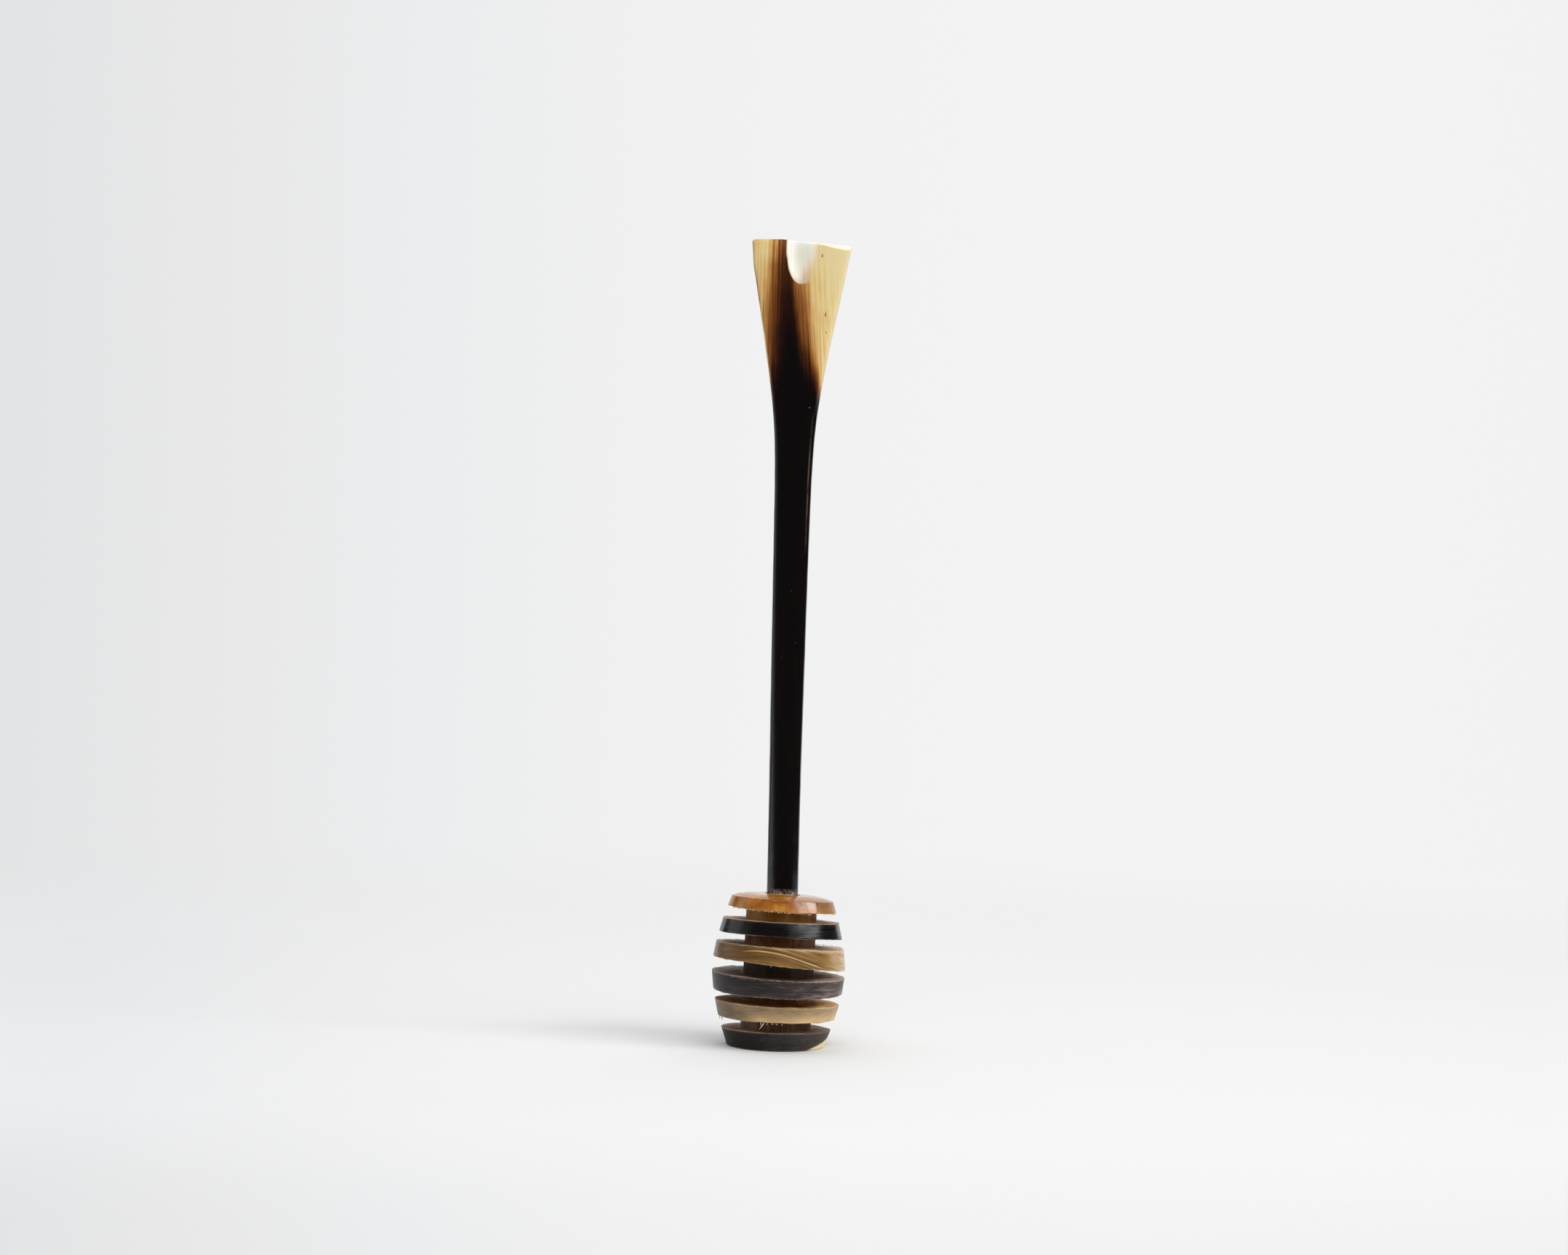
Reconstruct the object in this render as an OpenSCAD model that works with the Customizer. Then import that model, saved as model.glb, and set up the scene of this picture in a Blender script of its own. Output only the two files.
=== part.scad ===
// Honey dipper of polished cattle horn, standing on its foot disc.
// Six horn discs and five smaller spacers are bored, threaded on the tenon of
// a carved handle and glued, and the stack is then turned to one barrel. The
// saw cuts between the pieces were made by hand, so each disc tilts its own way.
// +Z is up. The flat face of the handle, with the scoop, looks along -Y.

/* [Head] */
// Largest diameter of the barrel
belly_d = 27.5; // [22:0.1:40]
// Height of the largest diameter above the foot face
belly_z = 15.7; // [10:0.1:18]
// Diameter of the barrel at the foot face
foot_d = 20.1; // [18:0.1:30]
// Diameter of the barrel at the rim of the top disc
shoulder_d = 20.9; // [18:0.1:30]
// Fullness of the barrel's curve, from a straight cone at 1 to a round belly at 2
barrel_fullness = 1.65; // [1:0.05:2.5]
// Diameter of the spacers
core_d = 14.6; // [9:0.1:16]
// Lean of the turned head away from the handle's line, in degrees
head_lean = 1.2; // [-3:0.1:3]
// Broken edge round each face of a disc
edge_break = 0.2; // [0.05:0.05:0.4]

/* [Foot disc] */
// Thickness on the axis
foot_t = 3.55; // [2.5:0.05:6]
// Tilt of the upper face in degrees: right side down, front side up
foot_over_tilt = [0.3, 1.7]; // [-6:0.1:6]

/* [Lower disc] */
// Thickness on the axis
lower_t = 3.2; // [2:0.05:6]
// Tilt of the underside in degrees: right side down, front side up
lower_under_tilt = [0.7, 0.9]; // [-6:0.1:6]
// Tilt of the upper face in degrees: right side down, front side up
lower_over_tilt = [1.5, 1.5]; // [-6:0.1:6]

/* [Belly disc] */
// Thickness on the axis
belly_t = 3.5; // [2:0.05:6]
// Tilt of the underside in degrees: right side down, front side up
belly_under_tilt = [1.2, -0.8]; // [-6:0.1:6]
// Tilt of the upper face in degrees: right side down, front side up
belly_over_tilt = [2.2, 0.8]; // [-6:0.1:6]

/* [Middle disc] */
// Thickness on the axis
middle_t = 3.75; // [2:0.05:6]
// Tilt of the underside in degrees: right side down, front side up
middle_under_tilt = [4.9, 3.4]; // [-6:0.1:6]
// Tilt of the upper face in degrees: right side down, front side up
middle_over_tilt = [2.7, 3.2]; // [-6:0.1:6]

/* [Shoulder disc] */
// Thickness on the axis
shoulder_t = 3.1; // [2:0.05:6]
// Tilt of the underside in degrees: right side down, front side up
shoulder_under_tilt = [2.3, 3.6]; // [-6:0.1:6]
// Tilt of the upper face in degrees: right side down, front side up
shoulder_over_tilt = [1.4, 3.3]; // [-6:0.1:6]

/* [Top disc] */
// Thickness on the axis, up to the plane of its upper rim
top_t = 2.3; // [1.8:0.05:5]
// Height of the domed top above its rim
crown_h = 0.8; // [0.7:0.05:3]
// Fullness of the dome, 2 for a parabola and more for a flatter crest
crown_fullness = 5.5; // [2:0.1:8]
// Tilt of the underside in degrees: right side down, front side up
top_under_tilt = [2.6, 2.2]; // [-6:0.1:6]
// Tilt of the upper rim in degrees: right side down, front side up
top_over_tilt = [2.4, 2.8]; // [-6:0.1:6]

/* [Grooves] */
// Height of the first groove on the axis, counted from the foot
groove_1_h = 2.3; // [1.5:0.05:4]
// Height of the second groove
groove_2_h = 2.2; // [1.5:0.05:4]
// Height of the third groove
groove_3_h = 2.2; // [1.5:0.05:4]
// Height of the fourth groove
groove_4_h = 2.05; // [1.5:0.05:4]
// Height of the fifth groove
groove_5_h = 2.3; // [1.5:0.05:4]

/* [Handle] */
// Height of the whole dipper, from the foot face to the highest point of the handle
total_h = 165.8; // [150:0.1:200]
// Diameter of the round foot of the handle
shank_d = 6.4; // [6:0.1:8]
// Width of the shaft below the flare
shaft_w = 7; // [5:0.1:10]
// Thickness of the shaft from its flat front to its back
shaft_t = 5.5; // [4:0.1:8]
// Length of the round foot before it turns square
shank_len = 6; // [5:0.5:20]
// Length over which the round foot turns to the flat-sided shaft
easing_len = 70; // [20:1:75]
// Squareness of the shaft's section, where 2 is an ellipse
shaft_square = 3.6; // [2:0.1:8]

/* [Paddle] */
// Length of the flare, from where its sides would cross the shaft's to the end
flare_len = 37.2; // [25:0.1:45]
// Width gained for each unit of length in the flare
flare_rate = 0.373; // [0.1:0.005:0.6]
// Length over which the shaft's sides curve into the flare
flare_blend = 10.3; // [2:0.1:12]
// Thickness of the paddle at its end
paddle_t = 3.2; // [2.4:0.1:5]
// Squareness of the paddle's section, where 2 is an ellipse
paddle_square = 7; // [2:0.5:12]
// Distance that the end falls from its highest point: left corner, right corner
end_fall = [0.15, 1]; // [0:0.05:3]
// Place of the end's highest point, from the middle towards the right
end_peak_x = -4; // [-6:0.1:6]
// Rounding of the end's corners
end_round = 0.7; // [0.2:0.05:1.2]
// Width by which the paddle's left side draws in again before the end
end_draw = 0.45; // [0:0.05:2]
// Length over which it draws in
end_draw_len = 6; // [2:0.5:12]
// Sideways bow of the shaft, towards the left
handle_bow = 0.25; // [-2:0.05:2]

/* [Scoop] */
// Length of the scoop along the front face
scoop_len = 9.2; // [4:0.1:16]
// Width of the scoop at the end of the paddle
scoop_w = 6.6; // [4:0.1:9]
// Depth of the scoop at the end of the paddle
scoop_depth = 1.6; // [0.8:0.05:2]

/* [Tenon] */
// Diameter of the tenon that carries the discs
tenon_d = 5; // [3:0.1:5.4]
// Clearance round the tenon in its bores, for the glue
glue_gap = 0.05; // [0.03:0.01:0.15]
// Horn left under the tenon in the foot disc
tenon_floor = 1.3; // [0.8:0.05:2]
// Clearance under the end of the tenon
tenon_end_gap = 0.2; // [0.1:0.05:0.5]
// Depth of the handle's seat below the crest of the top disc
seat_depth = 0.6; // [0.5:0.05:1]

/* [Hidden] */
// Steepest tilt that the sliders allow, in degrees
max_tilt = 6;
// Sides round the handle, and steps along each stretch of it
loft_sides = 40;
shank_steps = 3;
shaft_steps = 16;
flare_steps = 20;
corner_steps = 3;
// Steps along the barrel's profile in one disc, and from the crest of the dome to its rim
barrel_steps = 6;
crown_steps = 12;
$fn = 96;

disc_t = [foot_t, lower_t, belly_t, middle_t, shoulder_t, top_t];
groove_h = [groove_1_h, groove_2_h, groove_3_h, groove_4_h, groove_5_h];
under_tilt = [
    [0, 0], lower_under_tilt, belly_under_tilt,
    middle_under_tilt, shoulder_under_tilt, top_under_tilt
];
over_tilt = [
    foot_over_tilt, lower_over_tilt, belly_over_tilt,
    middle_over_tilt, shoulder_over_tilt, top_over_tilt
];
top_disc_index = len(disc_t) - 1;

// Heights on the axis of the underside and the upper face of disc i
function under_z(i) = i == 0 ? 0 : over_z(i - 1) + groove_h[i - 1];
function over_z(i) = under_z(i) + disc_t[i];
rim_z = over_z(top_disc_index);
crest_z = rim_z + crown_h;
seat_z = crest_z - seat_depth;

// Furthest that a face with both tilts at their steepest rises or falls at the rim
face_reach = belly_d / 2 * tan(max_tilt) * sqrt(2);

// Radius of the turned barrel at height z
function barrel_r(z) =
    let (
        above = z > belly_z,
        end_r = (above ? shoulder_d : foot_d) / 2,
        share = abs(z - belly_z) / (above ? rim_z - belly_z : belly_z)
    )
    belly_d / 2 - (belly_d / 2 - end_r) * pow(share, barrel_fullness);

// Radius that the barrel gains for each unit of height at z
slope_step = 0.1;
function barrel_slope(z) =
    (barrel_r(z + slope_step) - barrel_r(z - slope_step)) / (2 * slope_step);

// Sideways place of the leaning head's axis at height z
function axis_x(z) = (z - belly_z) * tan(head_lean);

// Height of the handle, from its seat in the top disc
handle_h = total_h - seat_z;
handle_x = axis_x(seat_z);
flare_z = total_h - flare_len;

// Smooth step from 0 at a to 1 at b
function ease(v, a, b) =
    let (s = min(1, max(0, (v - a) / (b - a)))) s * s * (3 - 2 * s);

// Width, thickness and squareness of the handle's section at height z
function shaft_share(z) = ease(z, seat_z + shank_len, seat_z + shank_len + easing_len);
function paddle_share(z) = ease(z, flare_z - flare_blend, total_h);
function end_draw_at(z) = end_draw * ease(z, total_h - end_draw_len, total_h);
function handle_w(z) =
    let (u = z - flare_z)
    shank_d + (shaft_w - shank_d) * shaft_share(z)
        + flare_rate * (sqrt(u * u + flare_blend * flare_blend) + u) / 2
        - end_draw_at(z);
function handle_t(z) =
    shank_d + (shaft_t - shank_d) * shaft_share(z) + (paddle_t - shaft_t) * paddle_share(z);
function handle_square(z) =
    2 + (shaft_square - 2) * shaft_share(z) + (paddle_square - shaft_square) * paddle_share(z);

// Middle of the handle at height z: a line from the seat to the plumb end, bowed,
// and moved over where only the left side draws in
function handle_mid_x(z) =
    let (s = (z - seat_z) / handle_h)
    handle_x * (1 - s) - handle_bow * sin(180 * s) + end_draw_at(z) / 2;

// Fall of the paddle's end below its highest point, at x across it
end_w = handle_w(total_h);
function end_drop(x) =
    let (side = x < end_peak_x ? 0 : 1, corner_x = (side == 0 ? -1 : 1) * end_w / 2)
    end_fall[side] * abs((x - end_peak_x) / (corner_x - end_peak_x));

// One ring of the handle. Its section is a superellipse, drawn in by inset at
// the rounded end, and the rings of the flare take on the fall of the end.
function signed_power(v, p) = sign(v) * pow(abs(v), p);
function handle_ring(z, inset) = [
    for (i = [0 : loft_sides - 1])
        let (
            a = 360 * (i + 0.5) / loft_sides,
            p = 2 / handle_square(z),
            x = (handle_w(z) / 2 - inset) * signed_power(cos(a), p),
            y = (handle_t(z) / 2 - inset / 2) * signed_power(sin(a), p),
            fall = end_drop(x * end_w / handle_w(z)) * ease(z, flare_z, total_h)
        )
        [handle_mid_x(z) + x, y, z - fall]
];

// Each ring as [height, inset]: round foot, shaft, flare and rounded end
flare_start_z = flare_z - 2 * flare_blend;
end_round_z = total_h - end_round;
handle_stations = [
    for (i = [0 : shank_steps - 1]) [seat_z + shank_len * i / shank_steps, 0],
    for (i = [0 : shaft_steps - 1])
        [seat_z + shank_len + (flare_start_z - seat_z - shank_len) * i / shaft_steps, 0],
    for (i = [0 : flare_steps - 1])
        [flare_start_z + (end_round_z - flare_start_z) * i / flare_steps, 0],
    for (i = [0 : corner_steps])
        let (a = 90 * i / corner_steps)
        [end_round_z + end_round * sin(a), end_round * (1 - cos(a))]
];

// Skin through rings of equal length, with a flat first end and a fanned last end
module skin(rings) {
    sides = len(rings[0]);
    last = len(rings) - 1;
    tip = len(rings) * sides;
    middle = [for (k = [0 : 2]) [for (p = rings[last]) p[k]] * [for (p = rings[last]) 1 / sides]];
    points = [for (ring = rings) each ring, middle];
    foot_face = [for (i = [0 : sides - 1]) i];
    walls = [
        for (j = [0 : last - 1], i = [0 : sides - 1])
            let (a = j * sides + i, b = j * sides + (i + 1) % sides)
            each [[a, a + sides, b], [b, a + sides, b + sides]]
    ];
    end_fan = [
        for (i = [0 : sides - 1]) [last * sides + i, tip, last * sides + (i + 1) % sides]
    ];
    polyhedron(points, concat([foot_face], walls, end_fan), convexity = 4);
}

// Shapes in the frame of the leaning head
module on_head_axis() {
    translate([0, 0, belly_z]) rotate([0, head_lean, 0]) translate([0, 0, -belly_z]) children();
}

// Shapes in the frame of a tilted face that crosses the axis at height z
module on_face(z, tilt) {
    translate([0, 0, z]) rotate([-tilt[1], tilt[0], 0]) children();
}

// The turned barrel between two heights
module barrel_slice(z0, z1) {
    profile = [
        for (i = [0 : barrel_steps])
            let (z = z0 + (z1 - z0) * i / barrel_steps) [barrel_r(z), z]
    ];
    on_head_axis() rotate_extrude() polygon([[0, z0], each profile, [0, z1]]);
}

// Where the barrel's round rim is centred in a tilted face, because a tilted
// cut through a taper is wider on one side
function rim_shift(z, tilt) =
    let (gain = barrel_slope(z) * barrel_r(z))
    [axis_x(z) - gain * tan(tilt[0] - head_lean), -gain * tan(tilt[1]), 0];

// All that lies under a tilted face, with the edge of the face broken. The
// face is flat, or domed by crown.
module under_face(z, tilt, crown = 0) {
    rim = barrel_r(z) - edge_break;
    depth = belly_d;
    dome = [
        for (i = [crown > 0 ? crown_steps - 1 : 0 : -1 : 0])
            let (r = rim * i / crown_steps)
            [r, crown * (1 - pow(r / rim, crown_fullness))]
    ];
    on_face(z, tilt)
        translate(rim_shift(z, tilt))
            rotate_extrude()
                polygon([
                    [0, -depth],
                    [rim + face_reach, -depth],
                    [rim + face_reach, -face_reach],
                    [rim, 0],
                    each dome
                ]);
}

// All that lies over a tilted face, with the edge of the face broken
module over_face(z, tilt) {
    rim = barrel_r(z) - edge_break;
    depth = belly_d;
    on_face(z, tilt)
        translate(rim_shift(z, tilt))
            rotate_extrude()
                polygon([
                    [0, 0],
                    [rim, 0],
                    [rim + face_reach, face_reach],
                    [rim + face_reach, depth],
                    [0, depth]
                ]);
}

// Bore for the tenon, open at the top and blind in the foot disc
module tenon_bore() {
    on_head_axis()
        translate([0, 0, tenon_floor])
            cylinder(h = crest_z, d = tenon_d + 2 * glue_gap);
}

// Flat-bottomed seat for the handle's foot
module handle_seat() {
    translate([handle_x, 0, seat_z])
        cylinder(h = seat_depth + face_reach, d = shank_d + 2 * glue_gap);
}

// Disc i of the stack, counted from the foot
module disc(i) {
    difference() {
        intersection() {
            barrel_slice(under_z(i) - face_reach, over_z(i) + face_reach);
            under_face(over_z(i), over_tilt[i], i == top_disc_index ? crown_h : 0);
            over_face(under_z(i), under_tilt[i]);
        }
        tenon_bore();
        if (i == top_disc_index) handle_seat();
    }
}

// Half-space on one side of a tilted face: side is -1 below it, 1 above it
module beside_face(z, tilt, side) {
    size = 2 * belly_d;
    on_face(z, tilt) translate([0, 0, side * size / 2]) cube(size, center = true);
}

// Spacer i fills groove i from face to face, between disc i and disc i + 1
module spacer(i) {
    low = over_z(i) - face_reach;
    high = under_z(i + 1) + face_reach;
    difference() {
        on_head_axis() translate([0, 0, low]) cylinder(h = high - low, d = core_d);
        beside_face(over_z(i), over_tilt[i], -1);
        beside_face(under_z(i + 1), under_tilt[i + 1], 1);
        tenon_bore();
    }
}

// Gouge that cuts the scoop: a round nose swept on an arc, deepest at the end
module scoop_gouge() {
    face_y = -paddle_t / 2;
    face_slope = (handle_t(total_h - scoop_len) - paddle_t) / 2 / scoop_len;
    sweep_r = scoop_len * scoop_len / (2 * (scoop_depth + face_slope * scoop_len));
    nose_r = (scoop_w * scoop_w / 4 + scoop_depth * scoop_depth) / (2 * scoop_depth);
    translate([handle_mid_x(total_h), face_y + scoop_depth - sweep_r, total_h - end_drop(0)])
        rotate([0, 90, 0])
            rotate_extrude() translate([sweep_r - nose_r, 0]) circle(nose_r);
}

module handle() color("#1c110d") {
    tenon_bottom = tenon_floor + tenon_end_gap;
    difference() {
        union() {
            skin([for (s = handle_stations) handle_ring(s[0], s[1])]);
            on_head_axis()
                translate([0, 0, tenon_bottom])
                    cylinder(h = seat_z - tenon_bottom + shank_d / 2, d = tenon_d);
        }
        scoop_gouge();
    }
}

module top_disc() color("#b8741f") disc(5);
module spacer_5() color("#7a5a30") spacer(4);
module shoulder_disc() color("#17120f") disc(4);
module spacer_4() color("#5e3419") spacer(3);
module middle_disc() color("#9c7f4f") disc(3);
module spacer_3() color("#33241c") spacer(2);
module belly_disc() color("#3d3431") disc(2);
module spacer_2() color("#6b3f1a") spacer(1);
module lower_disc() color("#a98a5c") disc(1);
module spacer_1() color("#4e3a2c") spacer(0);
module foot_disc() color("#2c2522") disc(0);

handle();
top_disc();
spacer_5();
shoulder_disc();
spacer_4();
middle_disc();
spacer_3();
belly_disc();
spacer_2();
lower_disc();
spacer_1();
foot_disc();
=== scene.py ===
# Honey dipper of cattle horn: a carved and polished handle, and a turned head
# of six discs and five spacers. Shapes are worked out in millimetres.
import math
from functools import partial

import bmesh
import bpy
import numpy as np
from mathutils import Matrix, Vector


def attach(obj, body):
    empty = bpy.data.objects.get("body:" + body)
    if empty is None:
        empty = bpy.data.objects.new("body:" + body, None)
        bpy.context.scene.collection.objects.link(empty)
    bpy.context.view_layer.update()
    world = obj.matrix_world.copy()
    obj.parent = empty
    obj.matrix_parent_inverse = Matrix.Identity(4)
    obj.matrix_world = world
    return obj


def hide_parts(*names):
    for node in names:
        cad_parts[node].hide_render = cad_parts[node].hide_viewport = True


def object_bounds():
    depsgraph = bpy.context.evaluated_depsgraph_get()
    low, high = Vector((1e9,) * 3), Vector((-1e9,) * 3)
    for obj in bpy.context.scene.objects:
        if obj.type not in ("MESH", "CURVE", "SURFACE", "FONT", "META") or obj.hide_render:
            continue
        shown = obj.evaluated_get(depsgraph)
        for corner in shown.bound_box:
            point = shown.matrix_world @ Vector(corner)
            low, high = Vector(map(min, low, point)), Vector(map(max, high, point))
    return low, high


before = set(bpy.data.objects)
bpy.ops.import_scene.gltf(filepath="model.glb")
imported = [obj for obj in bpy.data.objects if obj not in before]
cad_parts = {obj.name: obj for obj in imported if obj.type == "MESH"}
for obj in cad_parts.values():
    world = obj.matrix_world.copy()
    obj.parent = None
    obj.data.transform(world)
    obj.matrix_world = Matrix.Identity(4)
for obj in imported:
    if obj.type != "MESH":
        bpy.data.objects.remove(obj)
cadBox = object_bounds()
mm = 0.001

# The photographed view: lengths in metres (lens and sensor in millimetres), angles in degrees
shot = {
    "place": (0.0, -0.700, 0.0984), "lens": 78.07, "sensor": 36.0, "clip": (0.01, 20),
    "downwards": 1.002, "turn": 0.087, "roll": 1.778,
}


def addObject(name, data):
    made = bpy.data.objects.new(name, data)
    bpy.context.scene.collection.objects.link(made)
    return made


def rotation(degrees, axis):
    return Matrix.Rotation(math.radians(degrees), 4, axis)


def makeCamera(shot):
    data = bpy.data.cameras.new("shotCamera")
    data.lens, data.sensor_width, data.sensor_fit = shot["lens"], shot["sensor"], "HORIZONTAL"
    data.clip_start, data.clip_end = shot["clip"]
    camera = addObject("shotCamera", data)
    camera.matrix_world = (Matrix.Translation(shot["place"]) @ rotation(shot["turn"], "Z")
                           @ rotation(90 - shot["downwards"], "X") @ rotation(shot["roll"], "Z"))
    bpy.context.scene.camera = camera


makeCamera(shot)
print("camera placed")


# Small helpers for shapes

def ease(a, b, v):
    # Smooth step: 0 at a and before, 1 at b and beyond
    s = np.clip((v - a) / (b - a), 0, 1)
    return s * s * (3 - 2 * s)


def mix(a, b, share):
    return a + (b - a) * share


def bell(v, middle, width):
    return np.exp(-((v - middle) / width) ** 2)


def unit(v):
    return v / np.linalg.norm(v, axis=-1, keepdims=True)


def axes(points):
    # The x, y and z of points, as views: a change to one changes the points
    return np.moveaxis(points, -1, 0)


def allRound(count):
    return np.linspace(0, 2 * np.pi, count, endpoint=False)


def waves(points, count, longest, seed):
    # Soft unevenness of unit size: a sum of plane waves of random direction, from
    # the longest wavelength down to a sixth of it
    draw = np.random.default_rng(seed)
    total = np.zeros(points.shape[:-1])
    for _ in range(count):
        heading = unit(draw.normal(size=3))
        wavelength = longest * draw.uniform(1 / 6, 1)
        total += np.sin(points @ heading * 2 * np.pi / wavelength + draw.uniform(0, 2 * np.pi))
    return total * math.sqrt(2 / count)


def smallGrain(shape, seed):
    # Grain as fine as the mesh: one random height a point, between -1 and 1
    return np.random.default_rng(seed).uniform(-1, 1, shape)


def surfaceNormals(rings, wrapRows):
    # Outward unit normals of a ring grid: the way round crossed with the way up
    sideways = np.roll(rings, -1, 1) - np.roll(rings, 1, 1)
    if wrapRows:
        upward = np.roll(rings, -1, 0) - np.roll(rings, 1, 0)
    else:
        upward = np.gradient(rings, axis=0)
    normal = np.cross(sideways, upward)
    return normal / np.maximum(np.linalg.norm(normal, axis=-1, keepdims=True), 1e-9)


def ringQuads(rows, columns, wrapRows=False):
    # Faces of a ring grid: each ring closes round, and the last joins the first
    # where wrapRows is set
    index = np.arange(rows * columns).reshape(rows, columns)
    low = index if wrapRows else index[:-1]
    high = np.roll(index, -1, 0) if wrapRows else index[1:]
    return np.stack([low, np.roll(low, -1, 1), np.roll(high, -1, 1), high], -1).reshape(-1, 4)


def addPiece(name, points, quads, fields, material, node=None, sharp=35):
    # Points in millimetres to a mesh, with its fields as attributes. Rings that
    # shrink to a point or a line are merged.
    points = points.reshape(-1, 3)
    mesh = bpy.data.meshes.new(name)
    mesh.from_pydata(points * mm, [], quads)
    for key, values in fields.items():
        kind, member = ("FLOAT_VECTOR", "vector") if values.size == points.size else ("FLOAT", "value")
        made = mesh.attributes.new(key, kind, "POINT")
        made.data.foreach_set(member, values.astype(np.float32).ravel())
    shape = bmesh.new()
    shape.from_mesh(mesh)
    bmesh.ops.remove_doubles(shape, verts=shape.verts, dist=1e-7)
    shape.to_mesh(mesh)
    shape.free()
    mesh.validate()
    mesh.shade_smooth()
    mesh.set_sharp_from_angle(angle=math.radians(sharp))
    mesh.materials.append(material)
    piece = addObject(name, mesh)
    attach(piece, "root")
    if node:
        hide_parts(node)


# Small helpers for materials

def linear(code):
    # sRGB hex to linear colour
    parts = [int(code[i:i + 2], 16) / 255 for i in (1, 3, 5)]
    return tuple(p / 12.92 if p <= 0.04045 else ((p + 0.055) / 1.055) ** 2.4 for p in parts) + (1,)


def addNode(tree, kind, inputs=(), stops=None, **settings):
    # One node with its settings, its colour stops (place, and hex colour or grey
    # value) and its inputs, each a plain value or what feeds it: a list in the order
    # of the sockets, or a dictionary of sockets
    made = tree.nodes.new("ShaderNode" + kind)
    for key, value in settings.items():
        setattr(made, key, value)
    if stops:
        elements = made.color_ramp.elements
        while len(elements) < len(stops):
            elements.new(0.5)
        for element, (place, tone) in zip(elements, stops):
            element.position = place
            element.color = linear(tone) if isinstance(tone, str) else (tone, tone, tone, 1)
    for key, value in inputs.items() if isinstance(inputs, dict) else enumerate(inputs):
        socket = made.inputs[key]
        if isinstance(value, bpy.types.Node):
            value = value.outputs[0]
        if isinstance(value, bpy.types.NodeSocket):
            tree.links.new(value, socket)
        else:
            socket.default_value = value
    return made


def newMaterial(name):
    # An empty material, and addNode for its tree
    material = bpy.data.materials.new(name)
    material.use_nodes = True
    material.node_tree.nodes.clear()
    return material, partial(addNode, material.node_tree)


# Head: sizes of the turned stack in millimetres, angles in degrees
head = {
    "bellyD": 27.5, "bellyZ": 15.7, "footD": 20.1, "shoulderD": 20.9, "fullness": 1.65,
    "coreD": 14.6, "lean": 1.2, "edgeBreak": 0.2,
    "tenonD": 5.0, "glueGap": 0.05, "tenonFloor": 1.3, "tenonEndGap": 0.2,
    "crownH": 0.8, "crownFullness": 5.5, "seatDepth": 0.6, "shankD": 6.4,
}

# The discs from the foot up: thickness on the axis, height of the groove above, and
# tilts of the saw cuts under and over it (right side down, front side up). Where
# cleanEdge is above 1, the rim's polish runs further round on to the lower edge.
discs = {
    "foot_disc": {"thick": 3.55, "groove": 2.3, "under": (0, 0), "over": (0.3, 1.7)},
    "lower_disc": {"thick": 3.2, "groove": 2.2, "under": (0.7, 0.9), "over": (1.5, 1.5)},
    "belly_disc": {"thick": 3.5, "groove": 2.2, "under": (1.2, -0.8), "over": (2.2, 0.8)},
    "middle_disc": {"thick": 3.75, "groove": 2.05, "under": (4.9, 3.4), "over": (2.7, 3.2)},
    "shoulder_disc": {"thick": 3.1, "groove": 2.3, "under": (2.3, 3.6), "over": (1.4, 3.3), "cleanEdge": 6},
    "top_disc": {"thick": 2.3, "groove": 0, "under": (2.6, 2.2), "over": (2.4, 2.8)},
}
cutHeight = {"under": "low", "over": "high"}  # where each saw cut crosses the axis
height = 0.0
for disc in discs.values():
    disc["low"] = height
    disc["high"] = height + disc["thick"]
    height = disc["high"] + disc["groove"]
rimZ = discs["top_disc"]["high"]
seatZ = rimZ + head["crownH"] - head["seatDepth"]
bellyZ = head["bellyZ"]
lean = math.radians(head["lean"])
leanCos, leanSin = math.cos(lean), math.sin(lean)
handleX = (seatZ - bellyZ) * math.tan(lean)
boreR = head["tenonD"] / 2 + head["glueGap"]
coreR = head["coreD"] / 2
shankR = head["shankD"] / 2
seatR = shankR + head["glueGap"]


def barrelR(t):
    # Turned barrel: the belly's radius less a power of the distance from the belly
    above = t > bellyZ
    endR = np.where(above, head["shoulderD"], head["footD"]) / 2
    reach = np.where(above, rimZ - bellyZ, bellyZ)
    share = np.abs(t - bellyZ) / reach
    return head["bellyD"] / 2 - (head["bellyD"] / 2 - endR) * share ** head["fullness"]


def onAxis(t, r, angle):
    # Point at height t and radius r round the head's axis, which leans to the right
    x, y, rise = r * np.cos(angle), r * np.sin(angle), t - bellyZ
    return np.stack([x * leanCos + rise * leanSin, y, bellyZ + rise * leanCos - x * leanSin], -1)


def headFrame(points):
    # The way back: coordinates in the frame of the leaning head, so that marks run round it
    x, y, z = axes(points - [0, 0, bellyZ])
    return np.stack([x * leanCos - z * leanSin, y, x * leanSin + z * leanCos], -1)


def sawZ(disc, side, x, y):
    # Height of the tilted plane of the saw cut under or over a disc
    right, front = (math.radians(a) for a in disc[side])
    return disc[cutHeight[side]] - math.tan(right) * x - math.tan(front) / math.cos(right) * y


def cutPoint(radiusAt, disc, side, angle):
    # Where a turned surface meets a saw cut: a few rounds of stepping to the plane
    t = np.full_like(angle, disc[cutHeight[side]])
    for _ in range(handWork["cutRounds"]):
        x, y, z = axes(onAxis(t, radiusAt(t), angle))
        t = t + sawZ(disc, side, x, y) - z
    return onAxis(t, radiusAt(t), angle), t


def cutRing(radius, disc, side, angle):
    # The same for a straight bore or core of one radius
    return cutPoint(lambda t: radius, disc, side, angle)[0]


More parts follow.
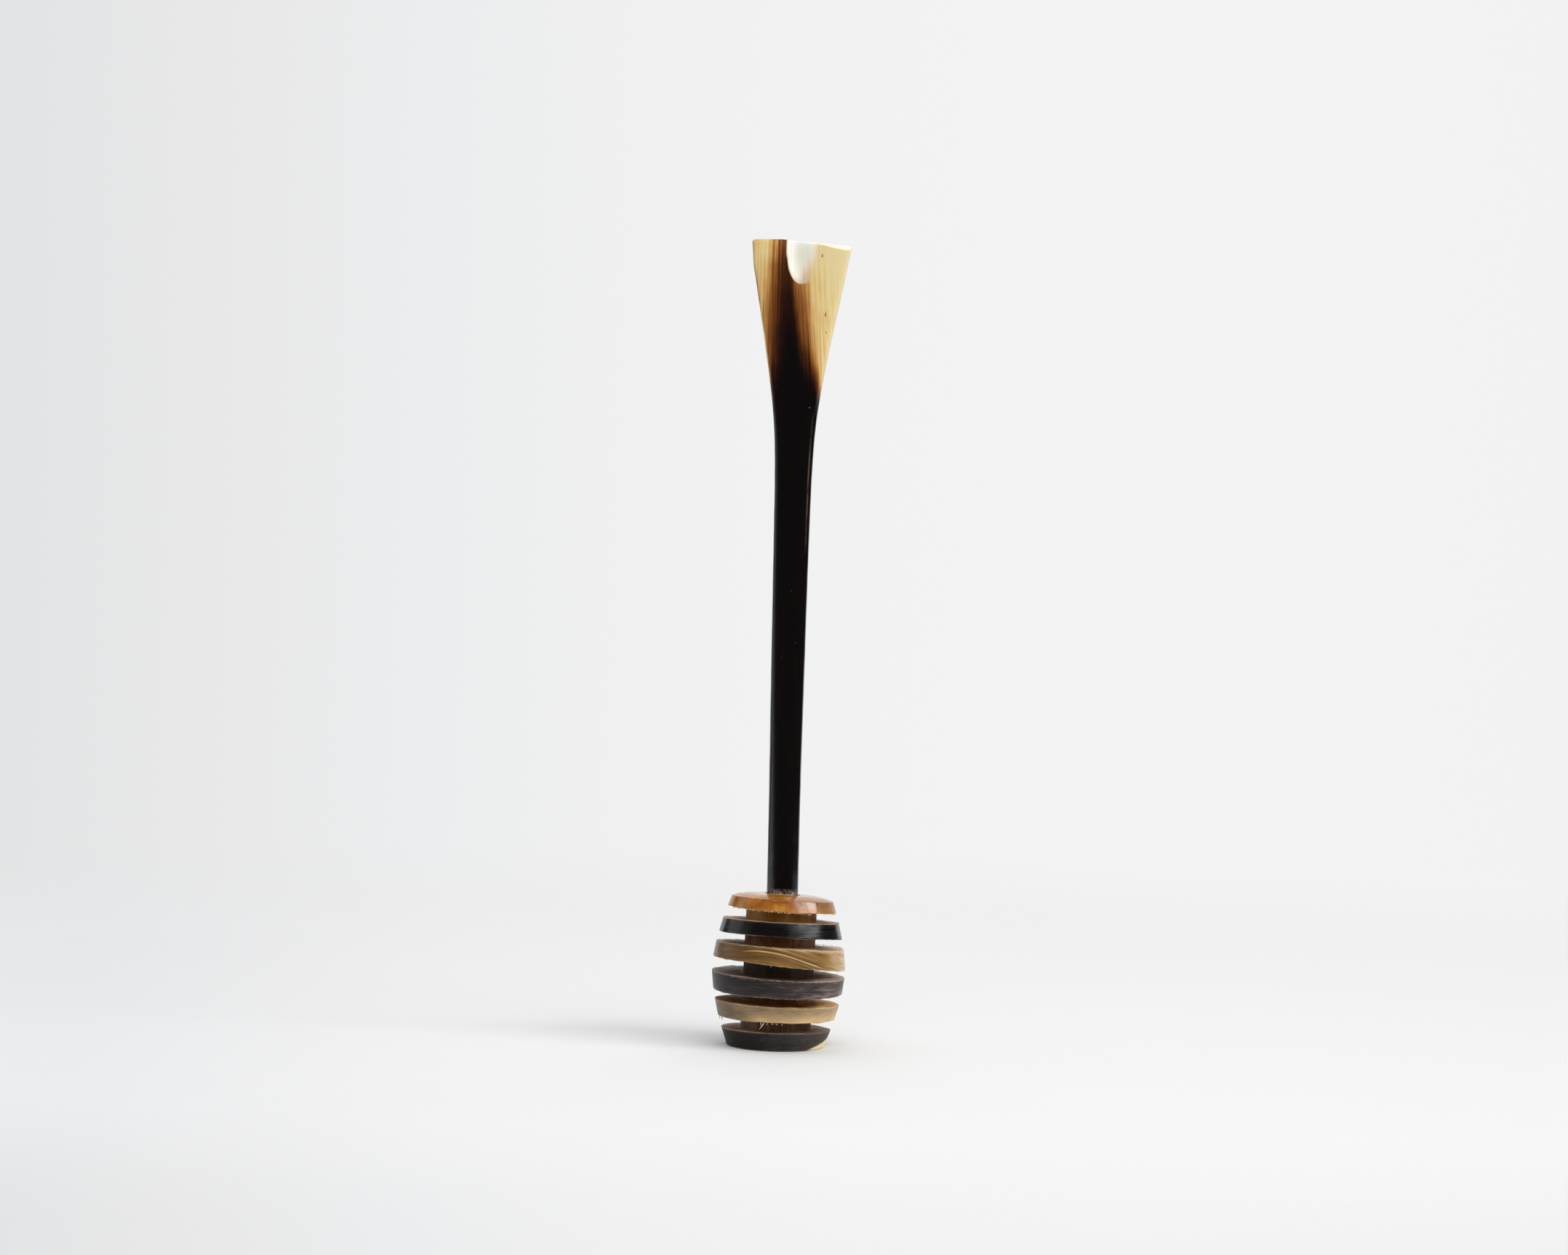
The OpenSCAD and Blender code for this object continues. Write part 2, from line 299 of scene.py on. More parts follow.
def domeZ(x, y):
    # Top face of the top disc: a dome that falls with a power of the distance from
    # the middle of the tilted rim
    top = discs["top_disc"]
    rim = barrelR(rimZ) - head["edgeBreak"]
    gain = (barrelR(rimZ) - barrelR(rimZ - 0.1)) / 0.1 * barrelR(rimZ)
    right, front = (math.radians(a) for a in top["over"])
    centreX = (rimZ - bellyZ) * math.tan(lean) - gain * math.tan(right - lean)
    centreY = -gain * math.tan(front)
    share = np.clip(np.hypot(x - centreX, y - centreY) / rim, 0, 1)
    return sawZ(top, "over", x, y) + head["crownH"] * (1 - share ** head["crownFullness"])


# Hand work on the discs in millimetres: wobble of the turned rim, unevenness of the saw
# cuts, tooth marks of the saw and their spacing, the torn fibres at the edges (polishedTorn
# is the share left on the top disc), how much and how far each edge frays (lower, upper),
# and the calm margins of a glued ring and of the foot. faceSpread below 1 puts more of a
# face's rings near its rim, and cutRounds is how often a point is stepped to a cut.
handWork = {
    "columns": 384, "faceRings": 20, "rimRings": 13, "cornerRings": 6, "faceSpread": 0.8, "cutRounds": 8,
    "wobble": 0.02, "cutWaves": 0.05, "sawTeeth": 0.02, "toothSpacing": 0.55, "tornEdge": 0.05,
    "polishedTorn": 0.1, "fray": ((0.6, 0.2), (1.0, 0.24)), "glued": (0.1, 0.7), "footCalm": (0.1, 0.6),
}


def brokenEdge(corner, before, after):
    # A broken edge: a curve that leaves one face and comes on to the next, pulled
    # towards the corner between them
    start = corner + unit(before - corner) * head["edgeBreak"]
    end = corner + unit(after - corner) * head["edgeBreak"]
    s = np.linspace(0, 1, handWork["cornerRings"])[:, None, None]
    return (1 - s) ** 2 * start + 2 * s * (1 - s) * corner + s ** 2 * end


def discRings(name, disc, seed):
    # A disc as one closed skin: out along the underside, up the turned rim, in
    # along the upper face and down the bore. Returns the rings and, for each
    # point, how far it is a sawn face and how near it is to an edge.
    work, isTop, isFoot = handWork, name == "top_disc", name == "foot_disc"
    angle = allRound(work["columns"])[None, :]
    cornerLow, tLow = cutPoint(barrelR, disc, "under", angle)
    cornerHigh, tHigh = cutPoint(barrelR, disc, "over", angle)
    boreLow, boreHigh = (cutRing(boreR, disc, side, angle) for side in cutHeight)
    t = mix(tLow, tHigh, np.linspace(0, 1, work["rimRings"])[:, None])
    rim = onAxis(t, barrelR(t), angle)
    lowEdge = brokenEdge(cornerLow, boreLow, rim[1:2])
    highEdge = brokenEdge(cornerHigh, rim[-2:-1], boreHigh)
    out = (np.linspace(0, 1, work["faceRings"]) ** work["faceSpread"])[:, None, None]
    underFace = mix(0 * boreLow if isFoot else boreLow, lowEdge[:1], out)[:-1]
    overFace = mix(highEdge[-1:], boreHigh, out)[1:]
    if isTop:
        seat = np.stack([handleX + seatR * np.cos(angle), seatR * np.sin(angle), 0 * angle], -1)
        overFace = mix(highEdge[-1:], seat, out)[1:]
        overFace[..., 2] = domeZ(overFace[..., 0], overFace[..., 1])
        boreTop = onAxis(seatZ, boreR, angle)
        boreTop[..., 2] = seatZ
        overFace = np.concatenate([overFace, seat + np.array([0, 0, seatZ]), boreTop])
    parts = [underFace, lowEdge, rim[1:-1], highEdge, overFace]
    if isFoot:
        parts.append(np.concatenate([onAxis(head["tenonFloor"], r, angle) for r in (boreR, 0.0)]))
    rings = np.concatenate(parts)
    counts = [len(p) for p in parts]
    marks = np.repeat(np.arange(len(parts)), counts)
    underside, lowCorner, _, highCorner, upperside, blindEnd = range(6)
    sawn = np.isin(marks, (underside, upperside, blindEnd)).astype(float)
    sawn[marks == lowCorner] = np.linspace(1, 0, counts[lowCorner]) ** disc.get("cleanEdge", 1)
    sawn[marks == highCorner] = np.linspace(0, 1, counts[highCorner])
    if isTop:
        sawn[marks >= highCorner] = 0
    sawn = sawn[:, None] + 0 * rings[..., 0]
    edge = np.maximum(*(share * bell(np.linalg.norm(rings - corner, axis=-1), 0, reach)
                        for corner, (share, reach) in zip((cornerLow, cornerHigh), work["fray"])))
    # Unevenness stays off the bore and off the ring where a spacer is glued on
    x, y, z = axes(rings)
    radius = np.hypot(x - (z - bellyZ) * math.tan(lean), y)
    free = ease(coreR + work["glued"][0], coreR + work["glued"][1], radius)
    if isFoot:
        free = free * ease(*work["footCalm"], z)
    cut = waves(rings * [1, 1, 0.2], 9, 9, seed) * work["cutWaves"]
    stroke = np.array([math.cos(seed * 1.7), math.sin(seed * 1.7), 0])
    teeth = np.sin(rings @ stroke * 2 * np.pi / work["toothSpacing"] + 2 * waves(rings, 5, 6, seed + 1))
    rough = smallGrain(radius.shape, seed + 2) * 0.6 + teeth
    turned = (waves(rings, 12, 12, seed + 3) - 2) * work["wobble"]
    torn = np.clip(smallGrain(radius.shape, seed + 4), 0, 1) ** 2 * edge * work["tornEdge"]
    torn = torn * (work["polishedTorn"] if isTop else 1)
    lift = free * (sawn * (cut + rough * work["sawTeeth"]) + (1 - sawn) * turned + torn)
    return rings + surfaceNormals(rings, not isFoot) * lift[..., None], sawn, edge


# A spacer's mesh, its fibres all round and how they sway, and in millimetres how high
# they stand and how far the side is turned hollow
spacerWork = {"columns": 240, "rings": 16, "fibres": 97, "sway": 3, "ridge": 0.02, "hollow": 0.04}


def spacerRings(low, high, seed):
    # A spacer as one closed skin between two saw cuts, with a lathe-turned side that
    # keeps the horn's upright fibres
    work = spacerWork
    angle = allRound(work["columns"])[None, :]
    boreLow, sideLow = (cutRing(radius, low, "over", angle) for radius in (boreR, coreR))
    boreHigh, sideHigh = (cutRing(radius, high, "under", angle) for radius in (boreR, coreR))
    up = np.linspace(0, 1, work["rings"])[:, None, None]
    rings = np.concatenate([boreLow, mix(sideLow, sideHigh, up), boreHigh])
    inner = np.concatenate([[[0.0]], 4 * up[:, :, 0] * (1 - up[:, :, 0]), [[0.0]]])
    fibre = np.sin(angle * work["fibres"] + work["sway"] * waves(rings, 6, 5, seed)) * 0.5
    fibre = fibre + smallGrain(rings.shape[:2], seed + 1)
    return rings + surfaceNormals(rings, True) * (inner * (fibre * work["ridge"] - work["hollow"]))[..., None]


# Turned horn: keratin in thin layers. Polished, it shines like lacquer over cloudy
# depth; sawn, its torn fibres scatter the light and it looks dull and frayed.
def hornMaterial(look):
    material, add = newMaterial(look["name"])
    grain = add("Attribute", attribute_name="grain").outputs["Vector"]
    sawn, edge, tint, face = (add("Attribute", attribute_name=key).outputs["Fac"]
                              for key in ("sawn", "edge", "tint", "face"))
    noise = {}
    for key in ("cloud", "fibre", "scratch", "tear", "speckle"):
        size, detail, rough = look[key]
        scaled = add("VectorMath", [grain, [1 / s for s in size]], operation="MULTIPLY")
        noise[key] = add("TexNoise", {"Vector": scaled, "Scale": 1.0, "Detail": detail, "Roughness": rough})
    depth = add("Mix", {0: look["cloudShare"], 2: noise["fibre"], 3: noise["cloud"]})
    half = 0.5 / look["contrast"]
    depth = add("MapRange", [depth, 0.5 - half, 0.5 + half])
    # The tint lightens or darkens the horn: mostly painted light and shade, by side and near the edges; on
    # the foot it is also the pale root, the horn's own colour
    depth = add("Math", [depth, tint], operation="ADD")
    if "layers" in look:
        # Growth layers: a ramp up the layer coordinate, where 0.5 changes nothing
        lined = add("Attribute", attribute_name="lined").outputs["Fac"]
        level = add("SeparateXYZ", [grain]).outputs["Z"]
        level = add("Math", [level, 1 / look["layersHigh"]], operation="MULTIPLY")
        layer = add("ValToRGB", [level], stops=[(z / look["layersHigh"], v) for z, v in look["layers"]])
        layer = add("Math", [layer, 0.5], operation="SUBTRACT")
        depth = add("Math", [layer, lined, depth], operation="MULTIPLY_ADD")
    rimColour = add("ValToRGB", [depth], stops=look["rim"])
    # Painted sheen and shade: the face attribute makes the sawn faces paler or darker at their sides and
    # middle
    face = add("Math", [noise["speckle"], face], operation="ADD")
    sawnColour = add("ValToRGB", [face], stops=look["sawn"])
    frayed = add("MapRange", [noise["tear"], *look["tearRange"], 0.0, look["fray"]])
    frayed = add("Math", [frayed, edge], operation="MULTIPLY")
    colour = rimColour
    for share, over in ((sawn, sawnColour), (frayed, linear(look["edge"]))):
        colour = add("Mix", {0: share, 6: colour, 7: over}, data_type="RGBA").outputs[2]
    rough = add("MapRange", [noise["fibre"], *look["roughRange"], *look["rough"]])
    dull = add("Math", [sawn, frayed], operation="MAXIMUM")
    rough = add("Mix", {0: dull, 2: rough, 3: look["sawnRough"]})
    relief = add("Mix", {0: sawn, 2: noise["scratch"], 3: noise["speckle"]})
    strength = add("Mix", {0: sawn, 2: look["scratchBump"], 3: look["sawnBump"]})
    bump = add("Bump", {"Height": relief, "Strength": strength, "Distance": 0.1 * mm})
    shader = add("BsdfPrincipled", {
        "Base Color": colour, "Roughness": rough, "Normal": bump, "IOR": look["ior"],
        "Subsurface Weight": look["glow"], "Subsurface Radius": (1.0, 0.5, 0.2), "Subsurface Scale": 1.2 * mm,
    })
    add("OutputMaterial", {"Surface": shader})
    return material


# What the looks of the turned pieces share where they say nothing else. Each pattern has
# its size in millimetres (across, deep, high), detail and roughness. The fibres,
# scratches and specks are finer on real horn: they are drawn two to three times as
# coarse, so that they show.
hornFinish = {
    "speckle": ((0.22, 0.22, 0.22), 3, 0.7), "tear": ((0.5, 0.5, 0.12), 3, 0.7),
    "scratch": ((3, 3, 0.12), 3, 0.6), "tearRange": (0.47, 0.66), "roughRange": (0.3, 0.7),
    "sawnBump": 0.8, "sawnRough": 0.42, "cloudShare": 0.5, "glow": 0.0, "tints": [],
    "faceSheenAndShade": (0.0, 0.0, 0.0), "faceLeft": (-2, -9), "faceRight": (3, 10),
}
# Finish of each disc: colours from the darkest to the lightest part of the horn. A sawn
# face is paler or darker at its left, its middle and its right: painted sheen and shade.
# Each tint is an amount and the smooth steps that bound it: across (x), round (way), above
# the underside, below the upper face, or under the rising line of the pale root. The tints
# across and near the edges are mostly painted light and shade, as noted with each disc; the
# tint under the pale root is the horn's own colour. The top disc's gleam, a painted
# highlight, is an amount, a place and a width, and its worn right end is a share, where it
# starts and is full, and its margin under the upper face.
discLooks = {
    "top_disc": {
        "name": "polishedHornAmber", "slot": "horn_amber",
        "rim": [(0.05, "#7e4510"), (0.42, "#a76824"), (0.62, "#b87d38"), (0.9, "#cd9f64")],
        "sawn": [(0.3, "#7c5836"), (0.7, "#bc946c")], "edge": "#d2a468", "fray": 0.3,
        "cloud": ((6, 6, 3), 2, 0.5), "fibre": ((0.45, 0.45, 2.5), 4, 0.6), "cloudShare": 0.6,
        "contrast": 2.0, "rough": (0.05, 0.2), "scratch": ((3, 3, 0.08), 3, 0.6), "scratchBump": 0.03,
        "glow": 0.35, "ior": 1.6, "gleam": (0.12, -5.5, 4), "wearAndHighlight": (0.5, 7.4, 8.0, 0.1),
        # Darker towards the right, and in a band under the upper face but for its left end
        "tints": [(-0.1, ("x", -1, 5)), (-0.36, ("below", 1.7, 0.3), ("below", -0.3, 0), ("x", -6, -2))],
    },
    "shoulder_disc": {
        "name": "polishedHornBlack", "slot": "horn_black",
        "rim": [(0.2, "#080606"), (0.6, "#0c0a0a"), (0.9, "#191514")],
        "sawn": [(0.3, "#664a36"), (0.55, "#a0826a"), (0.75, "#cbb096")], "edge": "#a08468", "fray": 0.6,
        "cloud": ((5, 5, 2), 2, 0.5), "fibre": ((5, 5, 0.22), 4, 0.6), "contrast": 1.6,
        "rough": (0.1, 0.34), "scratch": ((5, 5, 0.2), 3, 0.6), "scratchBump": 0.18, "ior": 1.65,
        "faceSheenAndShade": (0.25, 0.0, 0.1), "cleanLow": (0.5, 1.5),
    },
    "middle_disc": {
        "name": "satinHornOlive", "slot": "horn_olive",
        "rim": [(0.1, "#4a3216"), (0.38, "#6c4d27"), (0.6, "#936f3b"), (0.95, "#cfb48e")],
        "sawn": [(0.3, "#66503c"), (0.55, "#9c856b"), (0.75, "#c4ae90")], "edge": "#cdb588", "fray": 0.8,
        "cloud": ((7, 7, 0.9), 2, 0.5), "fibre": ((5, 5, 0.25), 4, 0.6), "contrast": 0.9,
        "rough": (0.2, 0.34), "scratch": ((3, 3, 0.1), 3, 0.6), "scratchBump": 0.15, "glow": 0.15,
        "ior": 1.5, "faceSheenAndShade": (0.0, 0.0, 0.6),
        # Painted light and shade: lighter at the right end of the rim, darker to the left, and a painted
        # highlight along the upper edge, stronger to the right
        "tints": [(0.32, ("x", 8, 13)), (-0.16, ("x", -3, -9)), (0.22, ("below", 0.9, 0.1), ("x", -4, 6))],
        # Growth layers: where they show at the left and the right, and how they arch (the
        # way each hyperbola opens, its slope, place and softness). The pale line is drawn
        # about twice its real width, so that it shows.
        "linedLeft": (-9, -6), "linedRight": (10, 7), "arch": [(1, 0.14, 0.6, 3), (-1, 0.1, -4.4, 2)],
        "layersHigh": 9.0,
        "layers": [(0, 0.6), (0.5, 0.62), (1.1, 0.48), (1.7, 0.4), (2.3, 0.52), (2.74, 0.46), (2.82, 0.85),
                   (3.0, 0.85), (3.08, 0.4), (3.5, 0.46), (3.9, 0.58), (4.3, 0.38), (4.8, 0.56), (5.4, 0.4)],
    },
    "belly_disc": {
        "name": "dullHornCharcoal", "slot": "horn_charcoal",
        "rim": [(0.15, "#150f10"), (0.5, "#282020"), (0.75, "#443835"), (0.95, "#766760")],
        "sawn": [(0.3, "#5f4c42"), (0.55, "#917c6e"), (0.75, "#c4b0a2")], "edge": "#bda98f", "fray": 0.95,
        "cloud": ((7, 7, 1.4), 2, 0.5), "fibre": ((4, 4, 0.28), 5, 0.7), "cloudShare": 0.3, "contrast": 2.6,
        "rough": (0.3, 0.5), "scratch": ((4, 4, 0.25), 3, 0.6), "scratchBump": 0.8, "ior": 1.38,
        "faceSheenAndShade": (-0.05, -0.35, 0.25),
        # Painted light and shade: lighter to the right and darker to the left; lighter near the lower edge,
        # and a little darker overall
        "tints": [(0.3, ("x", -1, 10)), (-0.1, ("x", -2, -9)), (0.16, ("above", 3, 0.3)), (-0.1,)],
    },
    "lower_disc": {
        "name": "dullHornTan", "slot": "horn_tan",
        "rim": [(0.1, "#6f5b42"), (0.42, "#9b835f"), (0.65, "#b49668"), (0.95, "#d4b888")],
        "sawn": [(0.3, "#946034"), (0.55, "#c8955c"), (0.75, "#e6c289")], "edge": "#dccaa8", "fray": 0.95,
        "cloud": ((7, 7, 3), 2, 0.5), "fibre": ((2.4, 2.4, 0.3), 5, 0.7), "contrast": 1.4,
        "rough": (0.36, 0.5), "scratchBump": 0.25, "glow": 0.2, "ior": 1.42, "sawnRough": 0.75,
        "faceSheenAndShade": (-0.2, -0.35, 0.2),
        # Painted light and shade: lighter to the right and darker to the left, a little darker overall, and
        # lighter along the lower edge but for a painted shadow at its left end
        "tints": [(0.1, ("x", 2, 9)), (-0.15, ("x", -3, -8)), (-0.14,), (-0.15, ("above", 2.8, 0.3)),
                  (0.55, ("x", -10, -3), ("above", 2.8, 0.3))],
    },
    "foot_disc": {
        "name": "dullHornFoot", "slot": "horn_foot",
        "rim": [(0.05, "#110f0f"), (0.4, "#1b1817"), (0.7, "#403b39"), (0.8, "#a3956c"), (0.95, "#e6d9aa")],
        "sawn": [(0.3, "#523f34"), (0.55, "#86705f"), (0.75, "#b49d89")], "edge": "#9a866f", "fray": 0.8,
        "cloud": ((6, 6, 1.5), 2, 0.5), "fibre": ((1.1, 1.1, 0.5), 4, 0.6), "cloudShare": 0.4,
        "contrast": 0.6, "rough": (0.4, 0.56), "scratchBump": 0.4, "ior": 1.27, "faceSheenAndShade": (0.6, 0.0, 0.0),
        # The first tint is the pale root, the horn's own colour; the others are painted light and shade,
        # lighter to the right and darker to the left
        "tints": [(0.45, ("root", -0.4, 0.55), ("way", 105, 85)), (0.1, ("x", 0, 8)), (-0.2, ("x", 0, -8))],
    },
}
rootLine = {"from": 35, "rise": 0.047}  # degrees round, and millimetres a degree


def buildDiscs():
    for seed, (name, disc) in enumerate(discs.items()):
        look = {**hornFinish, **discLooks[name]}
        rings, sawn, edge = discRings(name, disc, 20 + 10 * seed)
        x, y, z = axes(rings)
        way = np.degrees(np.arctan2(x, -y))  # way round from the front, right is positive
        above = z - sawZ(disc, "under", x, y)
        below = sawZ(disc, "over", x, y) - z
        along = {"x": x, "way": way, "above": above, "below": below,
                 "root": (way - rootLine["from"]) * rootLine["rise"] - z}
        # Painted sheen and shade on the sawn faces: paler or darker at the left, the middle and the right
        left, middle, right = look["faceSheenAndShade"]
        face = mix(mix(middle, left, ease(*look["faceLeft"], x)), right, ease(*look["faceRight"], x))
        # Tints: mostly painted light and shade, by side and near the edges; the foot's pale root is the
        # horn's own colour
        tint = np.zeros_like(sawn)
        for amount, *steps in look["tints"]:
            tint += amount * math.prod(ease(a, b, along[key]) for key, a, b in steps)
        fields = {"grain": headFrame(rings), "sawn": sawn, "edge": edge, "tint": tint, "face": face}
        if "layers" in look:
            # Growth layers arch: one hyperbola bends them down to the right, another to the left
            dive = sum(slope * (opens * (x - at) + np.hypot(x - at, soft))
                       for opens, slope, at, soft in look["arch"])
            fields["grain"][..., 2] = above + dive
            fields["lined"] = ease(*look["linedLeft"], x) * ease(*look["linedRight"], x) * (y < 0)
        if "cleanLow" in look:
            # The lower edge of the polished rim is clean
            fields["edge"] = edge * ease(*look["cleanLow"], above)
        if "wearAndHighlight" in look:
            # The gleam is a painted highlight: a lighter band at the left of the rim
            gleam, at, wide = look["gleam"]
            fields["tint"] = tint + gleam * bell(x, at, wide)
            # The right end of the rim is less polished, and its fibres show
            share, start, full, margin = look["wearAndHighlight"]
            fields["sawn"] = np.maximum(sawn, share * ease(start, full, x) * (y < 0) * (below > margin))
        addPiece(name[:-5] + "Disc", rings, ringQuads(*sawn.shape, name != "foot_disc"), fields,
                 hornMaterial(look), name, sharp=60)


# Spacers: sawn and roughly turned horn, unpolished, brown, with upright fibres. Tones
# from dark to light, and how much paler the left and the right side are: painted light on the sides.
spacerLooks = {
    "spacer_5": {"name": "turnedHornGold", "slot": "horn_core_gold",
                 "tones": ["#6e4718", "#9c682a", "#c09456"], "sides": (0.3, 0.08)},
    "spacer_4": {"name": "turnedHornRed", "slot": "horn_core_red",
                 "tones": ["#442410", "#6c4026", "#987052"], "sides": (0.16, 0.28)},
    "spacer_3": {"name": "turnedHornDark", "slot": "horn_core_dark",
                 "tones": ["#221916", "#3a2e29", "#5c4b40"], "sides": (0.12, 0.3)},
    "spacer_2": {"name": "turnedHornAmber", "slot": "horn_core_amber",
                 "tones": ["#42210c", "#6e421c", "#986a38"], "sides": (0.1, 0.28)},
    "spacer_1": {"name": "turnedHornBrown", "slot": "horn_core_brown",
                 "tones": ["#3e2a1c", "#664b38", "#8a705c"], "sides": (0.26, 0.06)},
}
spacerFinish = {
    **hornFinish, "edge": "#8a6c48", "fray": 0.5, "toneAt": (0.25, 0.55, 0.85),
    "cloud": ((2.5, 2.5, 4), 2, 0.5), "fibre": ((0.25, 0.25, 2.5), 4, 0.65), "cloudShare": 0.4,
    "contrast": 1.6, "rough": (0.55, 0.7), "scratch": ((0.12, 0.12, 1.5), 3, 0.6),
    "scratchBump": 0.6, "sawnBump": 0.6, "sawnRough": 0.6, "glow": 0.15, "ior": 1.38,
}


def buildSpacers():
    names = list(discs)
    for seed, (name, own) in enumerate(spacerLooks.items()):
        number = int(name[-1])
        stops = list(zip(spacerFinish["toneAt"], own["tones"]))
        look = {**spacerFinish, **own, "rim": stops, "sawn": stops}
        rings = spacerRings(discs[names[number - 1]], discs[names[number]], 200 + 10 * seed)
        zero = np.zeros(rings.shape[:2])
        left, right = look["sides"]
        # Painted light: the spacer is paler towards its left and right sides
        tint = left * ease(-1, -6, rings[..., 0]) + right * ease(1, 6, rings[..., 0])
        addPiece(f"spacer{number}", rings, ringQuads(*zero.shape, True),
                 {"grain": headFrame(rings), "sawn": zero, "edge": zero, "tint": tint},
                 hornMaterial(look), name, sharp=60)


buildDiscs()
buildSpacers()
print("turned head built")


# Fibres torn loose by the saw: the saw cut whose edge they hang on, the way round from
# the front in degrees (right is positive), how many, their length and thickness in
# millimetres and how dark they are; then, where it isn't usual, how far they lean
# outward and aside, spread and curl. They are drawn about twice as thick as real ones,
# so that they show.
usualBurr = {"lean": 0.25, "side": 0.0, "spread": 0.35, "curl": 0.3}
wholeRim = (-180, 180)
burrs = {
    "top_disc": [("under", (-65, 80), 220, (0.15, 0.45), 0.042, 0.1)],
    "shoulder_disc": [
        ("over", wholeRim, 110, (0.08, 0.22), 0.025, 0.4),
        ("under", wholeRim, 60, (0.08, 0.2), 0.022, 0.8),
    ],
    "middle_disc": [
        ("over", wholeRim, 110, (0.08, 0.22), 0.025, 0.3),
        ("over", (104, 150), 60, (0.3, 0.6), 0.035, 0.45),
        ("under", wholeRim, 70, (0.08, 0.22), 0.022, 0.2),
        ("under", (-8, -7), 1, (0.4, 0.45), 0.05, 0.0),
    ],
    "belly_disc": [
        ("over", wholeRim, 170, (0.08, 0.26), 0.028, 0.3),
        ("over", (34, 35), 1, (0.9, 0.95), 0.035, 0.0, {"curl": 0.8}),
        ("under", wholeRim, 70, (0.08, 0.2), 0.022, 0.7),
        ("under", (18, 30), 3, (0.3, 0.45), 0.03, 0.1),
    ],
    "lower_disc": [
        ("over", wholeRim, 80, (0.06, 0.16), 0.022, 0.1),
        ("under", wholeRim, 70, (0.08, 0.26), 0.022, 0.1),
        ("under", (-88, -64), 4, (0.6, 0.9), 0.05, 1.0, {"lean": 0.0, "spread": 0.08}),
        ("under", (-11.8, -11.2), 1, (1.6, 1.7), 0.13, 0.0, {"side": -0.4, "spread": 0.05, "curl": 0.1}),
        ("under", (-15, -14), 1, (0.6, 0.65), 0.07, 0.0, {"side": 0.2, "spread": 0.05, "curl": 0.1}),
        ("under", (-9, 8), 6, (0.4, 0.7), 0.055, 0.15),
    ],
    "foot_disc": [("over", wholeRim, 150, (0.08, 0.24), 0.026, 0.35)],
}
burrTones = {
    "top_disc": ("#ecc896", "#5d3a18"), "shoulder_disc": ("#b39b82", "#1d1613"),
    "middle_disc": ("#d9c49c", "#7d5a34"), "belly_disc": ("#cdbca4", "#2e2622"),
    "lower_disc": ("#dccaa6", "#3a2b20"), "foot_disc": ("#b3a08a", "#2c2420"),
}


def burrTubes(disc, draw, side, span, count, long, thick, dark, unusual=()):
    # Thin tapering tubes: a line that leaves the edge, bent by the square of the way
    # along it, inside a square ring that shrinks to a point at both ends
    burr = {**usualBurr, **dict(unusual)}
    angle = np.radians(draw.uniform(*span, count) - 90)
    corner, _ = cutPoint(barrelR, disc, side, angle)
    outward = np.stack([np.cos(angle), np.sin(angle), 0 * angle], -1)
    rise = np.array([0, 0, -1.0 if side == "under" else 1.0])
    root = corner - outward * 0.09 - rise * 0.04
    sideways = np.cross(outward, rise)
    way = rise + outward * burr["lean"] + sideways * burr["side"]
    way = unit(way + draw.normal(0, burr["spread"], (count, 3)))
    bend = sideways * draw.normal(0, 1, (count, 1)) + outward * draw.uniform(-0.5, 0.2, (count, 1))
    length = draw.uniform(*long, (count, 1))
    s = np.linspace(0, 1, 6)[None, :, None]
    line = root[:, None] + length[:, None] * (way[:, None] * s + bend[:, None] * s ** 2 * burr["curl"])
    radius = thick * np.array([0, 1, 0.9, 0.7, 0.45, 0])[None, :, None, None]
    turn = np.arange(4) * np.pi / 2
    square = np.cos(turn)[:, None] * sideways[:, None, None] + np.sin(turn)[:, None] * outward[:, None, None]
    points = line[:, :, None] + radius * square
    return points, np.clip(dark + draw.normal(0, 0.15, (count, 1, 1)), 0, 1) + 0 * points[..., 0]


# Torn horn fibre: a thin curl of keratin that lets light through and looks paler than the disc
def burrMaterial(name, tones):
    material, add = newMaterial(name)
    dark = add("Attribute", attribute_name="dark").outputs["Fac"]
    colour = add("ValToRGB", [dark], stops=list(enumerate(tones)))
    shader = add("BsdfPrincipled", {
        "Base Color": colour, "Roughness": 0.5, "IOR": 1.55, "Subsurface Weight": 0.3,
        "Subsurface Radius": (1.0, 0.6, 0.3), "Subsurface Scale": 0.1 * mm})
    add("OutputMaterial", {"Surface": shader})
    return material


def buildBurrs():
    for seed, (name, groups) in enumerate(burrs.items()):
        draw = np.random.default_rng(400 + seed)
        points, dark = (np.concatenate(made) for made in
                        zip(*(burrTubes(discs[name], draw, *group) for group in groups)))
        points = np.clip(points, *(np.array(cadBox) / mm))
        count, rows, columns = dark.shape
        quads = ringQuads(rows, columns)[None] + np.arange(count)[:, None, None] * rows * columns
        addPiece(name[:-5] + "Burrs", points, quads.reshape(-1, 4), {"dark": dark},
                 burrMaterial("tornHorn_" + name[:-5], burrTones[name]))


buildBurrs()
print("torn fibres built")


# Handle: sizes in millimetres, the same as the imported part's
handle = {
    "totalH": 165.8, "shaftW": 7.0, "shaftT": 5.5, "shankLen": 6, "easingLen": 70, "shaftSquare": 3.6,
    "flareLen": 37.2, "flareRate": 0.373, "flareBlend": 10.3, "paddleT": 3.2, "paddleSquare": 7,
    "endFall": (0.15, 1.0), "endPeakX": -4, "endRound": 0.7, "endDraw": 0.45, "endDrawLen": 6, "bow": 0.25,
    "scoopLen": 9.2, "scoopW": 6.6, "scoopDepth": 1.6,
}
